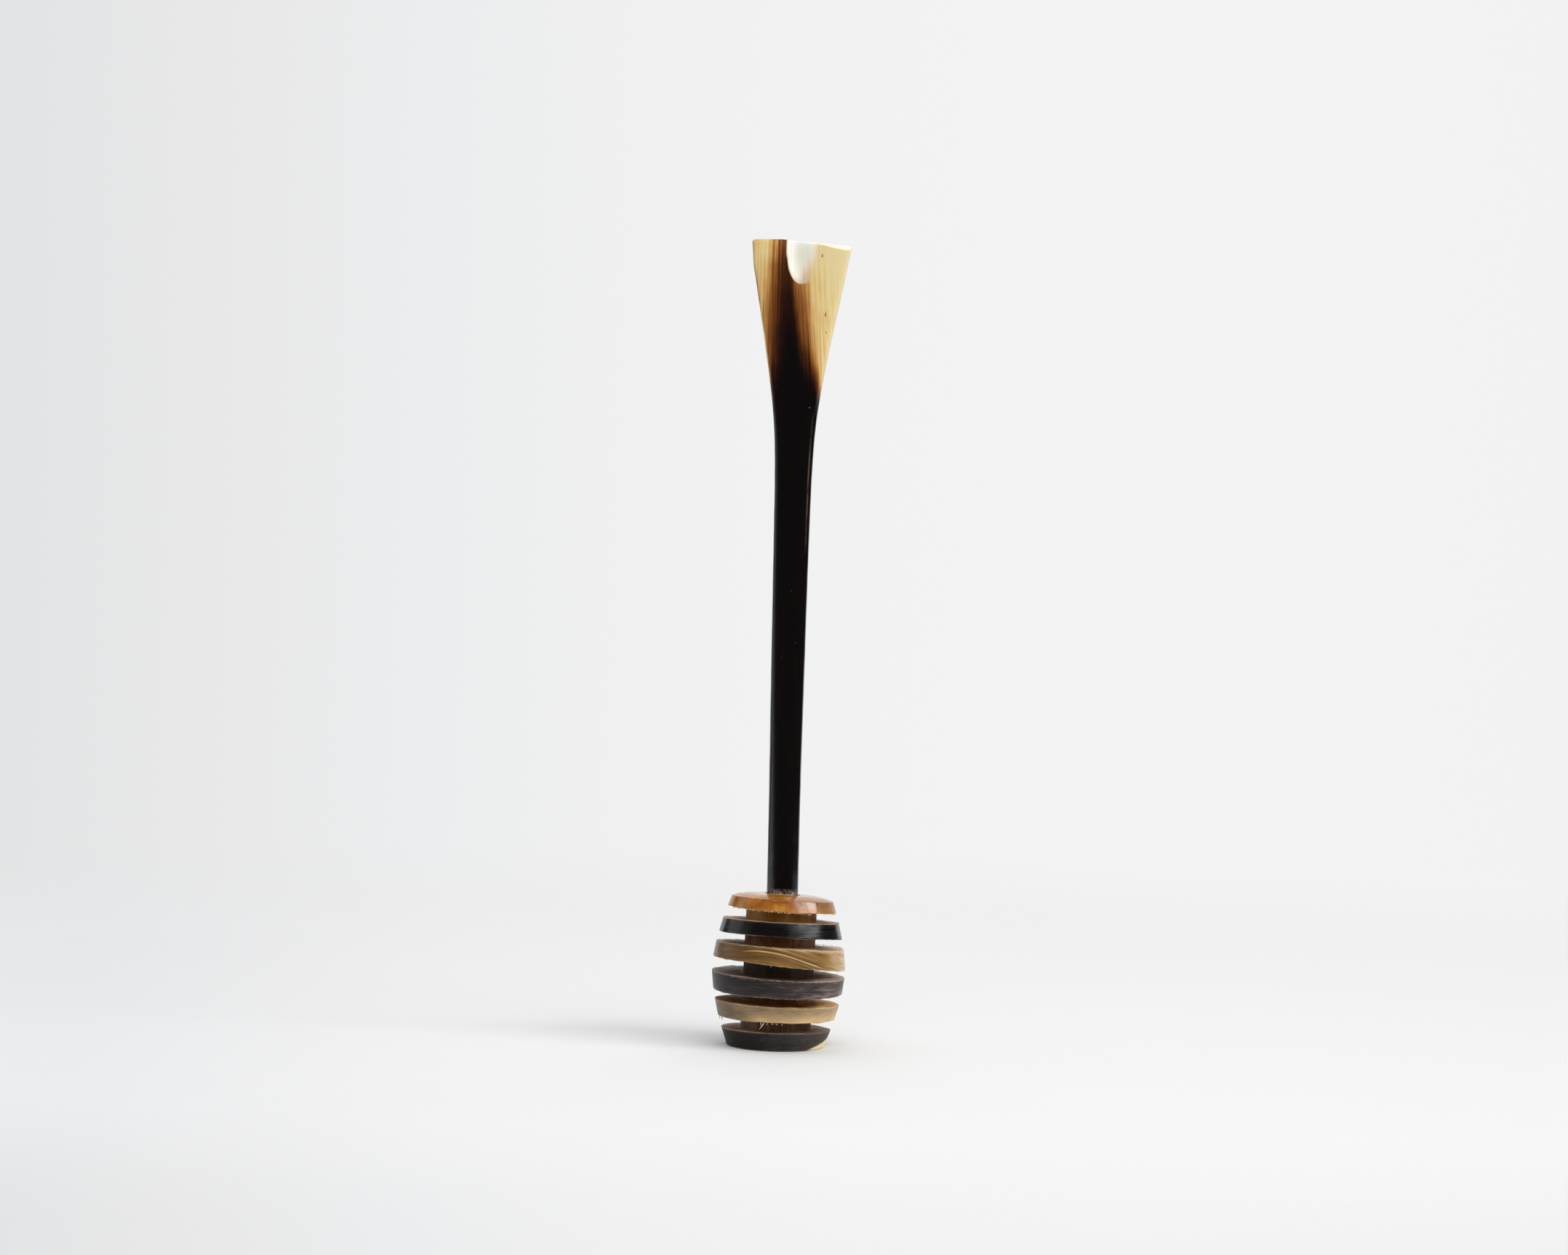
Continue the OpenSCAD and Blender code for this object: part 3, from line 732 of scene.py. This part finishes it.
# Mesh of the handle: columns round it, rings in each stretch from the seat up, levels of
# the tenon's rings, and the column, by its share of the width, that follows the scoop
handleMesh = {
    "columns": 288, "shankH": 14, "flareFrom": 12, "scoopBelow": 1.0, "rings": (14, 56, 70, 84),
    "endRings": 7, "capRings": 9, "tenonLevels": (8, 16, 24), "scoopColumn": 0.335,
}
# Hand work on the handle: waves of the filed surface, the facet at the right of the end
# (at its top and its side, and its most), and how soft the scoop's rims are
handleWork = {"filed": 0.012, "facetTop": 0.95, "facetSide": 0.5, "facetMost": 0.7, "soft": (0.02, 0.35)}
totalH = handle["totalH"]
flareZ = totalH - handle["flareLen"]
scoopZ = totalH - handle["scoopLen"]


def handleShape(z):
    # Width, thickness and squareness of the section at a height, all on smooth
    # steps; the flare is a straight taper eased in by a hyperbola
    shaft = ease(seatZ + handle["shankLen"], seatZ + handle["shankLen"] + handle["easingLen"], z)
    paddle = ease(flareZ - handle["flareBlend"], totalH, z)
    u = z - flareZ
    width = (mix(head["shankD"], handle["shaftW"], shaft)
             + handle["flareRate"] * (np.sqrt(u * u + handle["flareBlend"] ** 2) + u) / 2
             - handle["endDraw"] * ease(totalH - handle["endDrawLen"], totalH, z))
    thick = mix(head["shankD"], handle["shaftT"], shaft) + (handle["paddleT"] - handle["shaftT"]) * paddle
    square = mix(2, handle["shaftSquare"], shaft) + (handle["paddleSquare"] - handle["shaftSquare"]) * paddle
    return width, thick, square


endWidth = handleShape(np.array(totalH))[0]


def handleMidX(z):
    # Middle of the handle: a straight line to the plumb end, bowed to the left. The
    # end is drawn in on the left side only, so its middle moves to the right.
    s = (z - seatZ) / (totalH - seatZ)
    drawn = handle["endDraw"] / 2 * ease(totalH - handle["endDrawLen"], totalH, z)
    return handleX * (1 - s) - handle["bow"] * np.sin(np.pi * s) + drawn


def endDrop(x):
    # Fall of the paddle's end on both sides of its highest point
    half, peak = endWidth / 2, handle["endPeakX"]
    left = handle["endFall"][0] * (peak - x) / (peak + half)
    right = handle["endFall"][1] * (x - peak) / (half - peak)
    return np.maximum(left, right)


def scoopFloor(x, z):
    # Floor of the scoop: a round-nosed gouge swept on an arc, deepest at the end
    long, wide, deep = handle["scoopLen"], handle["scoopW"], handle["scoopDepth"]
    slope = (handleShape(np.array(scoopZ))[1] - handle["paddleT"]) / 2 / long
    sweep = long ** 2 / (2 * (deep + slope * long))
    nose = (wide ** 2 / 4 + deep ** 2) / (2 * deep)
    across = nose ** 2 - x ** 2
    reach = sweep - nose + np.sqrt(np.clip(across, 0, None))
    down = reach ** 2 - (z - totalH + endDrop(0)) ** 2
    floor = -handle["paddleT"] / 2 + deep - sweep + np.sqrt(np.clip(down, 0, None))
    return np.where((across > 0) & (down > 0), floor, -9.0)


def scoopHalf(z):
    # Half-width of the scoop's rim on the front face at a height
    side = np.linspace(0, handle["scoopW"] / 2 + 0.6, 120)
    face = -handleShape(z)[1] / 2
    inside = scoopFloor(side[None, :], z[:, None]) > face[:, None]
    return np.where(inside, side[None, :], 0).max(1)


def handleRings():
    # The handle as one skin: tenon from its blind end, shank, shaft, flare and the
    # rounded end, closed by rings that fold the front and the back on to a line
    grid, work = handleMesh, handleWork
    roundStart = totalH - handle["endRound"]
    shaftZ, scoopStart = seatZ + grid["shankH"], scoopZ - grid["scoopBelow"]
    levels = [seatZ, shaftZ, flareZ - grid["flareFrom"], scoopStart, roundStart]
    z = np.concatenate([np.linspace(a, b, count, endpoint=False)
                        for a, b, count in zip(levels, levels[1:], grid["rings"])])
    turn = np.linspace(0, np.pi / 2, grid["endRings"])
    inset = np.concatenate([np.zeros_like(z), handle["endRound"] * (1 - np.cos(turn))])[:, None]
    z = np.concatenate([z, roundStart + handle["endRound"] * np.sin(turn)])
    angle = (2 * np.pi * (np.arange(grid["columns"]) + 0.5) / grid["columns"])[None, :]
    c, s = np.cos(angle), np.sin(angle)
    width, thick, square = (v[:, None] for v in handleShape(z))
    rho = (np.abs(c) ** square + np.abs(s) ** square) ** (-1 / square)
    unitX, unitY = rho * c, rho * s
    halfW, halfT = width / 2 - inset, thick / 2 - inset / 2
    # Columns slide sideways so that one pair of them follows the rim of the scoop
    follow = ease(scoopZ - 9, scoopZ + 0.6, z)[:, None]
    rimHalf = np.maximum(scoopHalf(z), 1.0)[:, None] / halfW
    rimColumn = unitX[-1][np.argmin(np.abs(unitX[-1] - grid["scoopColumn"]))]
    inner = unitX / rimColumn * rimHalf
    outer = np.sign(unitX) * (rimHalf + (np.abs(unitX) - rimColumn) / (1 - rimColumn) * (1 - rimHalf))
    x = halfW * mix(unitX, np.where(np.abs(unitX) < rimColumn, inner, outer), follow)
    fall = endDrop(x * endWidth / width) * ease(flareZ, totalH, z)[:, None]
    middleX = handleMidX(z)[:, None]
    rings = np.stack([middleX + x, halfT * unitY, z[:, None] - fall], -1)
    # Hand finishing: slow waves in the filed and polished surface
    calm = ease(seatZ + 1, seatZ + 8, z)[:, None] * ease(totalH - 0.3, totalH - 3, z)[:, None]
    slow = (waves(rings * [1, 1, 0.35], 10, 9, 5) - 1) * work["filed"]
    rings = rings + surfaceNormals(rings, False) * (slow * calm)[..., None]
    # A small facet along the right part of the end and down the right corner
    x, y, z = axes(rings)
    front = y < 0
    facetTop = work["facetTop"] * ease(1.5, 9.2, x) - (totalH - endDrop(x) - z)
    facetSide = work["facetSide"] * ease(totalH - 9, totalH - 1.5, z) - (middleX + width / 2 - x)
    facet = np.clip(0.8 * np.maximum(facetTop, facetSide), 0, work["facetMost"]) * front
    y += facet
    # The scoop cuts what stands in front of its floor: crisp at its left rim, and
    # eased on a hyperbola at its right rim, where the gouge was scraped smooth
    aside = x - handleMidX(np.array(totalH))
    depth = scoopFloor(aside, z) - y
    soft = mix(*work["soft"], ease(-0.5, 3.0, aside))
    cut = front * (depth + np.sqrt(depth ** 2 + soft ** 2)) / 2
    y += cut * (1 - 0.92 * ease(-2.0, 2.4, aside))
    # Closing rings at the end fold towards the line midway between front and back
    last = rings[-1]
    fold = np.linspace(0, 1, grid["capRings"] + 1)[1:, None, None]
    cap = mix(last, (last + last[::-1]) / 2, fold)
    # Tenon: rings of the leaned axis from the blind end up to the shank's foot
    bottom = head["tenonFloor"] + head["tenonEndGap"]
    tenon = [onAxis(bottom, 0.0, angle)]
    tenon += [onAxis(t, head["tenonD"] / 2, angle) for t in (bottom, *grid["tenonLevels"], seatZ)]
    tenon[-1][..., 2] = seatZ
    before = np.zeros((len(tenon), grid["columns"]))
    fields = {key: np.concatenate([before, values, np.repeat(values[-1:] * onCap, len(cap), 0)])
              for key, values, onCap in (("cut", cut, 1), ("facet", facet, 0))}
    return np.concatenate(tenon + [rings, cap]), fields


# Stain of the horn in the paddle: heights in millimetres, and at each height the way
# from its pale left side to the full dark, how dark its core and the brown streaks on
# the right of it are, and where the core ends and the honey-coloured horn begins
stain = {
    "z": (127, 131, 133.6, 136.6, 141.1, 145.5, 150, 154.4, 160.4, 163.4, 165.8),
    "from": (-16, -12, -10.5, -9.8, -9.6, -9.4, -9.2, -8.9, -8.5, -8.0, -7.8),
    "full": (-8, -5, -3.6, -3.0, -2.4, -2.2, -2.3, -2.9, -3.4, -3.4, -3.2),
    "peak": (1, 1, 1, 1, 1, 0.99, 0.95, 0.93, 0.8, 0.7, 0.6),
    "core": (12, 9, 5, 2, 0.5, 0.1, -0.5, -1.1, -1.6, -1.8, -2.0),
    "streak": (1, 1, 1, 0.97, 0.85, 0.64, 0.55, 0.49, 0.4, 0.3, 0.25),
    "honey": (12, 7, 4.9, 4.3, 3.3, 2.8, 2.3, 1.8, 0.5, -0.5, -1),
}


# Marks on the handle: amounts of darkness, and the smooth steps that bound each mark,
# in millimetres across (X), out of the front (Y), up (Z) or inwards from an edge (In)
marks = {
    "clear": 0.13, "clearRight": -0.09, "clearX": (2, 8), "clearLow": 0.07, "clearZ": (163, 154),
    "back": (-0.3, 0.5), "coreSoft": 0.9, "coreBack": 0.8, "honeySoft": 1.2, "honeyBack": 1.2,
    "edgeTones": (-0.3, 0.16), "edgeZ": (144, 156), "edgeIn": (0.45, 0.1), "edgeX": (2, -2),
    "fan": 0.073, "fanX": (-3.5, 1.0), "fanZ": (110, 140),
    "lowerZ": (163.5, 158), "paleCut": (0.03, 0.15), "paleFromX": (4.4, 2.9), "paleToX": (1.6, -0.8),
    "scuffZ": (1.6, 0.8), "scuffY": (0.5, -2.5), "scuffX": (-3, -2),
    # The arris line and the paddle's right edge are painted highlights, where rounded edges catch the light
    # from the right
    "arrisAt": 0.8, "arrisWide": 0.13, "arrisLowZ": (101, 106), "arrisHighZ": (131, 126),
    "wearAndHighlight": 0.4, "highlightIn": (1.0, 0.2), "facetCut": (0, 0.15), "scoopDeep": 0.5, "scoopX": (0, 1.5),
}


def handleFields(rings, fields):
    # Darkness of the stain: a soft rise from the left edge to the core, a fall to the
    # streaks at the core's edge and a fall to the clear horn
    x, y, z = axes(rings)
    level = {key: np.interp(z, stain["z"], values) for key, values in stain.items()}
    width, thick, _ = handleShape(np.clip(z, seatZ, totalH))
    m, middleX = marks, handleMidX(z)
    back = ease(*m["back"], y / thick)
    rise = ease(level["from"], level["full"], x)
    coreFall = ease(-m["coreSoft"], m["coreSoft"], x - level["core"] + m["coreBack"] * back)
    honeyFall = ease(-m["honeySoft"], m["honeySoft"], x - level["honey"] + m["honeyBack"] * back)
    clear = m["clear"] + m["clearRight"] * ease(*m["clearX"], x) + m["clearLow"] * ease(*m["clearZ"], z)
    dark = clear + (mix(level["peak"], level["streak"], coreFall) - clear) * rise * (1 - honeyFall)
    # The thin rounded left edge looks a little deeper in colour near the end; further down it
    # is paler than the stain beside it: a painted highlight on the rounded edge
    inwards = np.minimum(width / 2 - np.abs(x - middleX), totalH - endDrop(x) - z)
    edgeTone = mix(*m["edgeTones"], ease(*m["edgeZ"], z)) * ease(flareZ, flareZ + 6, z)
    dark = np.maximum(dark + edgeTone * ease(*m["edgeIn"], inwards) * ease(*m["edgeX"], x), 0)
    # Fibres fan out: upright at the left, drifting right on the way down at the right
    drift = m["fan"] * ease(*m["fanX"], x) * ease(*m["fanZ"], z)
    grain = np.stack([x + (z - totalH) * drift, y, z], -1)
    # The scoop's floor is creamy, and turns to honey sooner towards its lower end
    lower = ease(*m["lowerZ"], z)
    pale = ease(mix(*m["paleFromX"], lower), mix(*m["paleToX"], lower), x)
    pale = pale * ease(*m["paleCut"], fields["cut"])
    # Scuffs above the seat; a painted highlight on the arris up the shaft, and a painted
    # highlight down the right edge of the paddle
    scuff = ease(*m["scuffZ"], z - seatZ) * ease(*m["scuffY"], y) * ease(*m["scuffX"], x)
    arrisHighlight = bell(x - middleX - width / 2 * m["arrisAt"], 0, m["arrisWide"]) * (y < 0)
    arrisHighlight = arrisHighlight * ease(*m["arrisLowZ"], z) * ease(*m["arrisHighZ"], z)
    wearAndHighlight = m["wearAndHighlight"] * ease(*m["highlightIn"], middleX + width / 2 - x) * ease(flareZ, flareZ + 15, z)
    # The facet's whitish coat is a painted highlight, on the facet and down the right edge of the paddle
    facet = np.maximum(ease(*m["facetCut"], fields["facet"]), wearAndHighlight)
    scooped = np.maximum(np.clip(fields["cut"] / m["scoopDeep"], 0, 1), ease(*m["scoopX"], x))
    return {"grain": grain, "dark": dark, "scooped": scooped, "pale": pale,
            "facet": facet, "scuff": scuff, "arrisHighlight": arrisHighlight}


# Polished horn: honey-coloured and cloudy in the paddle, stained black below, with fine
# streaks along the fibres and a shine like lacquer. Colours by darkness of the stain.
handleLook = {
    "tones": [(0.0, "#f8e6b4"), (0.12, "#f3dc9c"), (0.25, "#e3b672"), (0.4, "#b98143"), (0.55, "#8f5729"),
              (0.7, "#65381b"), (0.83, "#42220f"), (0.92, "#28140e"), (1.0, "#0e0b0c")],
    "scoop": [(0.0, "#c6aa90"), (0.35, "#e6d8c4"), (1.0, "#fff6ea")],
    # Each pattern: size in millimetres across, deep and high, detail and roughness. The
    # real fibres are finer: the streaks and hairlines are about twice as coarse, to show
    "patterns": {
        "streak": ((0.3, 0.9, 30), 4, 0.6), "broad": ((1.3, 2.0, 30), 2, 0.5),
        "cloud": ((3.5, 3.5, 7), 2, 0.5), "patch": ((0.25, 0.25, 0.7), 4, 0.7),
        "broken": ((1, 1, 5), 2, 0.5), "hairline": ((0.12, 0.4, 9), 3, 0.6),
        "dimple": ((0.6, 0.6, 2), 2, 0.5),
    },
    "swing": {"streak": 1.4, "broad": 0.2, "cloud": 0.5}, "bite": (2.2, 0.06),
    # Each coat: its pattern, the pattern's values where it starts and is full, its share and colour
    "coats": {
        # The facet and arris coats are painted highlights on rounded edges
        "pale": ("streak", 0.52, 0.75, 0.3, "#d6c0a6"), "facet": ("broken", 0.1, 0.4, 0.8, "#fbf1da"),
        "scuff": ("patch", 0.44, 0.62, 0.85, "#c9b8aa"), "arrisHighlight": ("broken", 0.25, 0.67, 0.8, "#806a5c"),
    },
    "rough": 0.09, "scoopRough": 0.45, "bump": 0.05,
    # Specks: place across and up, half-sizes in millimetres, colour; all as deep and as strong
    "specks": [
        (4.44, 162.6, 0.22, 0.5, "#a83408"), (5.46, 150.6, 0.22, 0.6, "#9a3008"),
        (5.7, 146.9, 0.16, 0.35, "#b04a14"), (2.76, 131.4, 0.07, 0.2, "#b8a99a"),
        (0.2, 93.8, 0.06, 0.12, "#8a827c"), (1.42, 83.1, 0.06, 0.15, "#8a827c"),
        (-1.33, 80.0, 0.06, 0.12, "#7a716b"), (-1.3, 89.6, 0.1, 0.18, "#5a2018"),
    ],
    "speckY": -2.5, "speckDeep": 4.0, "speckShare": 0.85,
    # Weight and reach in millimetres of the light inside, in clear and dark horn and the scoop
    "glow": (0.2, 0.05, 0.9), "reach": (0.7, 0.2, 3.0),
}


def handleMaterial(look):
    material, add = newMaterial("polishedHornHandle")
    grain = add("Attribute", attribute_name="grain").outputs["Vector"]
    dark, scooped, pale = (add("Attribute", attribute_name=key).outputs["Fac"]
                           for key in ("dark", "scooped", "pale"))
    noise = {}
    for key, (size, detail, rough) in look["patterns"].items():
        scaled = add("VectorMath", [grain, [1 / s for s in size]], operation="MULTIPLY")
        noise[key] = add("TexNoise", {"Vector": scaled, "Scale": 1.0, "Detail": detail, "Roughness": rough})
    # Streaks bite most where the stain is neither absent nor full
    swing = -sum(look["swing"].values()) / 2
    for key, weight in look["swing"].items():
        swing = add("Math", [noise[key], weight, swing], operation="MULTIPLY_ADD")
    clear = add("Math", [1.0, dark], operation="SUBTRACT")
    bite = add("Math", [dark, clear], operation="MULTIPLY")
    bite = add("Math", [bite, *look["bite"]], operation="MULTIPLY_ADD")
    shade = add("Math", [swing, bite, dark], operation="MULTIPLY_ADD", use_clamp=True)
    colour = add("ValToRGB", [shade], stops=look["tones"])
    layers = [(pale, add("ValToRGB", [scooped], stops=look["scoop"]))]
    for key, (pattern, start, full, share, code) in look["coats"].items():
        field = add("Attribute", attribute_name=key).outputs["Fac"]
        patchy = add("MapRange", [noise[pattern], start, full, 0.0, share])
        patchy = add("Math", [patchy, field], operation="MULTIPLY")
        layers.append((patchy, linear(code)))
    # Small specks, each a soft oval through the front of the horn
    place = add("TexCoord").outputs["Object"]
    for x, z, halfX, halfZ, code in look["specks"]:
        offset = add("VectorMath", [place, (x * mm, look["speckY"] * mm, z * mm)], operation="SUBTRACT")
        scaled = add("VectorMath", [offset, [1 / half / mm for half in (halfX, look["speckDeep"], halfZ)]],
                     operation="MULTIPLY")
        away = add("VectorMath", [scaled], operation="LENGTH").outputs["Value"]
        layers.append((add("MapRange", [away, 0.4, 1.0, look["speckShare"], 0.0]), linear(code)))
    for share, over in layers:
        colour = add("Mix", {0: share, 6: colour, 7: over}, data_type="RGBA").outputs[2]
    rough = add("Math", [noise["streak"], 0.06, look["rough"] - 0.03], operation="MULTIPLY_ADD")
    rough = add("Math", [pale, look["scoopRough"], rough], operation="MULTIPLY_ADD")
    relief = add("Math", [noise["dimple"], 0.4, noise["hairline"]], operation="MULTIPLY_ADD")
    bump = add("Bump", {"Height": relief, "Strength": look["bump"], "Distance": 0.1 * mm})
    # Light spreads furthest under the thin scraped floor of the scoop
    inClear, inDark, inScoop = look["glow"]
    glow = add("Mix", {0: dark, 2: inClear, 3: inDark})
    glow = add("Mix", {0: pale, 2: glow, 3: inScoop})
    inClear, inDark, inScoop = look["reach"]
    reach = add("Mix", {0: dark, 2: inClear * mm, 3: inDark * mm})
    reach = add("Mix", {0: pale, 2: reach, 3: inScoop * mm})
    shader = add("BsdfPrincipled", {
        "Base Color": colour, "Roughness": rough, "Normal": bump, "IOR": 1.55,
        "Subsurface Weight": glow, "Subsurface Radius": (1.0, 1.0, 1.0), "Subsurface Scale": reach,
    })
    add("OutputMaterial", {"Surface": shader})
    return material


# Glue squeezed out round the shank and dried: glassy, pale where thin and brown where
# thick. Width, height and unevenness of the bead in millimetres, its spurs and their
# width and where it thickens in degrees round, and colours from thin to thick.
bead = {
    "columns": 240, "rows": 12, "wide": 0.17, "high": 0.14, "uneven": 0.3, "spur": 0.32,
    "spurAt": (-84, 92), "spurWide": 9, "thickAt": (25, 70),
    "tones": [(0.0, "#a8957c"), (0.5, "#6a4522"), (1.0, "#3c220f")],
}


def buildBead(bead):
    # A ring tube on the dome of the top disc, uneven by waves and pulled out to
    # spurs by two bells round it
    angle, turn = allRound(bead["columns"])[:, None], allRound(bead["rows"])[None, :]
    way = np.degrees(np.arctan2(np.cos(angle), -np.sin(angle)))
    spur = bead["spur"] * sum(bell(way, at, bead["spurWide"]) for at in bead["spurAt"])
    circle = np.concatenate([np.cos(angle), np.sin(angle), 0 * angle], 1)
    uneven = 1 + bead["uneven"] * waves(circle * 4, 8, 3, 600)[:, None]
    out = shankR + 0.05 + (bead["wide"] * uneven + spur) * (0.6 + np.cos(turn)) / 1.6
    x, y = handleX + out * np.cos(angle), out * np.sin(angle)
    z = domeZ(x, y) + bead["high"] * (0.5 * uneven * np.sin(turn) + 0.15)
    material, add = newMaterial("driedGlue")
    thick = add("Attribute", attribute_name="thick").outputs["Fac"]
    colour = add("ValToRGB", [thick], stops=bead["tones"])
    shader = add("BsdfPrincipled", {"Base Color": colour, "Roughness": 0.3, "IOR": 1.5})
    add("OutputMaterial", {"Surface": shader})
    thick = ease(*bead["thickAt"], np.abs(way)) + 0 * turn
    addPiece("glueBead", np.stack([x, y, z], -1)[:, ::-1], ringQuads(bead["columns"], bead["rows"], True),
             {"thick": thick}, material)


rings, fields = handleRings()
addPiece("handleSkin", rings, ringQuads(*rings.shape[:2]), handleFields(rings, fields),
         handleMaterial(handleLook), "handle", sharp=32)
buildBead(bead)
print("handle built")


# White paper of the floor: flat and matt, so it mirrors nothing and keeps the object's
# shadow. It melts into the pale surroundings with distance, sooner on the camera's side.
# Its colours fan out from a point in front, from left to right over the slopes in fan: painted
# shade, darker towards the left, like the pale surroundings there.
# Lengths are in metres.
room = {
    "floorR": 0.62, "rings": 24, "columns": 96, "holeR": 0.0092, "level": -2e-5,
    "fade": (0.24, 0.5), "nearer": 2.3, "fan": (-0.286, 0.286), "fanFrom": 0.7,
    "paper": [(0.15, "#e1e2e3"), (0.34, "#e8e8e9"), (0.53, "#ebebeb"), (0.8, "#ebebeb")],
    "acrossWay": (-0.25, 0.25),
    "background": [(0.056, "#e3e4e5"), (0.167, "#e8e8e9"), (0.296, "#ecedee"), (0.407, "#f0f0f0"),
                   (0.544, "#f2f2f2"), (0.723, "#f3f3f3"), (0.941, "#f2f2f2")],
}


def buildFloor(room):
    # A round sheet: rings of points from the middle out
    angle = allRound(room["columns"])
    radii = np.linspace(0, room["floorR"], room["rings"])[::-1, None]
    rings = np.stack([radii * np.cos(angle), radii * np.sin(angle), room["level"] + 0 * radii * angle], -1)
    mesh = bpy.data.meshes.new("paperFloor")
    mesh.from_pydata(rings.reshape(-1, 3), [], ringQuads(room["rings"], room["columns"]))
    material, add = newMaterial("whitePaper")
    place = add("TexCoord").outputs["Object"]
    x, y, _ = add("SeparateXYZ", [place]).outputs
    slope = add("Math", [y, room["fanFrom"]], operation="ADD")
    slope = add("Math", [x, slope], operation="DIVIDE")
    share = add("MapRange", [slope, *room["fan"]])
    paper = add("ValToRGB", [share], stops=room["paper"])
    matt = add("BsdfPrincipled", {"Base Color": paper, "Roughness": 0.9, "Specular IOR Level": 0.2})
    near = add("Math", [y, -room["nearer"]], operation="MULTIPLY")
    near = add("Math", [near, y], operation="MAXIMUM")
    away = add("CombineXYZ", [x, near])
    away = add("VectorMath", [away], operation="LENGTH").outputs["Value"]
    fade = add("MapRange", [away, *room["fade"]], interpolation_type="SMOOTHSTEP")
    # Seen from beneath, the sheet lets the foot of the dipper be looked at, and a hole
    # that the foot covers lets light reach its underside
    under = add("NewGeometry").outputs["Backfacing"]
    centre = add("VectorMath", [place], operation="LENGTH").outputs["Value"]
    hole = add("Math", [centre, room["holeR"]], operation="LESS_THAN")
    gone = add("Math", [fade, under], operation="MAXIMUM")
    gone = add("Math", [gone, hole], operation="MAXIMUM")
    joined = add("MixShader", [gone, matt, add("BsdfTransparent")])
    add("OutputMaterial", {"Surface": joined})
    mesh.materials.append(material)
    addObject("paperFloor", mesh)


# Studio. The surroundings are a ring of greys by the way round from the camera in
# degrees (right is positive): white behind, dark on the camera's side, a dark gap and
# a weak card at the left. The window at the right of the camera is even above a line
# that slants down to the right, and below the line weaker towards its near side. Its
# sill, line and top are sines of the way up. A low strip fills the grooves, and a
# small panel above the camera's line lights the paddle.
# Lengths are in metres; a radiance of 1 is paper white.
studio = {
    "ring": [(-180, 0.86), (-150, 0.72), (-137, 0.6), (-134, 0.03), (-122, 0.03), (-119, 0.62), (-95, 0.55),
             (-75, 0.2), (-58, 0.06), (-35, 0.03), (0, 0.02), (95, 0.02), (134, 0.03), (140, 0.86),
             (180, 0.86)],
    "overhead": 1.26, "overheadWay": (0.62, 0.85), "behind": 0.78,
    "windowLow": [(14, 0), (22, 0.06), (30, 0.075), (38, 0.1), (46, 0.33), (54, 0.3), (65, 0.42), (79, 0.68),
                  (83, 0.68), (85, 0)],
    "windowHigh": [(18, 0), (21, 1), (38, 0.78), (50, 0.94), (65, 1), (83, 1), (85, 0)],
    "windowLine": (0.48, 0.495), "slant": 0.004, "slantFrom": 60, "windowSill": (0.31, 0.39),
    "windowTop": (0.615, 0.655), "radiance": 10.0,
    # Each panel: the way round, how far away and how high it is, its size and its radiance
    "panels": {
        "fillStrip": {"round": 8, "away": 0.6, "height": 0.18, "size": (1.2, 0.22), "radiance": 1.55},
        "paddleFill": {"round": 0, "away": 0.18, "height": 0.27, "size": (0.2, 0.06), "radiance": 3.0},
    },
}


def buildWorld(studio, room):
    world = bpy.data.worlds.new("studioRoom")
    bpy.context.scene.world = world
    world.use_nodes = True
    world.node_tree.nodes.clear()
    add = partial(addNode, world.node_tree)
    way = add("TexCoord").outputs["Generated"]
    x, y, z = add("SeparateXYZ", [way]).outputs
    towards = add("Math", [y, -1.0], operation="MULTIPLY")
    turn = add("Math", [x, towards], operation="ARCTAN2")
    share = add("MapRange", [turn, -math.pi, math.pi])
    ring, low, high = (add("ValToRGB", [share], stops=[((a + 180) / 360, v) for a, v in studio[key]])
                       for key in ("ring", "windowLow", "windowHigh"))
    above = add("MapRange", [z, *studio["overheadWay"]], interpolation_type="SMOOTHSTEP")
    lit = add("Mix", {0: above, 2: ring, 3: studio["overhead"]})
    slant = studio["slant"] * math.degrees(1)
    line = add("Math", [turn, slant, -slant * math.radians(studio["slantFrom"])], operation="MULTIPLY_ADD")
    line = add("Math", [z, line], operation="ADD")
    line = add("MapRange", [line, *studio["windowLine"]])
    window = add("Mix", {0: line, 2: low, 3: high})
    for key, outside, inside in (("windowSill", 0.0, 1.0), ("windowTop", 1.0, 0.0)):
        pane = add("MapRange", [z, *studio[key], outside, inside], interpolation_type="SMOOTHSTEP")
        window = add("Math", [window, pane], operation="MULTIPLY")
    lit = add("Math", [window, studio["radiance"], lit], operation="MULTIPLY_ADD")
    across = add("MapRange", [x, *room["acrossWay"]])
    seen = add("ValToRGB", [across], stops=room["background"])
    path = add("LightPath").outputs
    behind = add("Math", [y, studio["behind"]], operation="GREATER_THAN")
    mirrored = add("Math", [path["Is Glossy Ray"], behind], operation="MULTIPLY")
    plain = add("Math", [path["Is Camera Ray"], path["Is Transmission Ray"]], operation="MAXIMUM")
    plain = add("Math", [plain, mirrored], operation="MAXIMUM")
    colour = add("Mix", {0: plain, 6: lit, 7: seen}, data_type="RGBA").outputs[2]
    light = add("Background", {"Color": colour, "Strength": 1.0})
    add("OutputWorld", {"Surface": light})


def addPanel(name, panel):
    # An upright rectangle of light that faces the handle. It is a fill only, so
    # mirror-like faces and the camera don't see it.
    data = bpy.data.lights.new(name, "AREA")
    data.shape = "RECTANGLE"
    data.size, data.size_y = panel["size"]
    data.energy = panel["radiance"] * math.pi * data.size * data.size_y
    lamp = addObject(name, data)
    place = Matrix.Translation((0, -panel["away"], panel["height"]))
    lamp.matrix_world = rotation(panel["round"], "Z") @ place @ rotation(90, "X")
    lamp.visible_camera = lamp.visible_glossy = False


buildFloor(room)
buildWorld(studio, room)
for name, panel in studio["panels"].items():
    addPanel(name, panel)
bpy.context.scene.view_settings.view_transform = "Standard"
print("studio built")
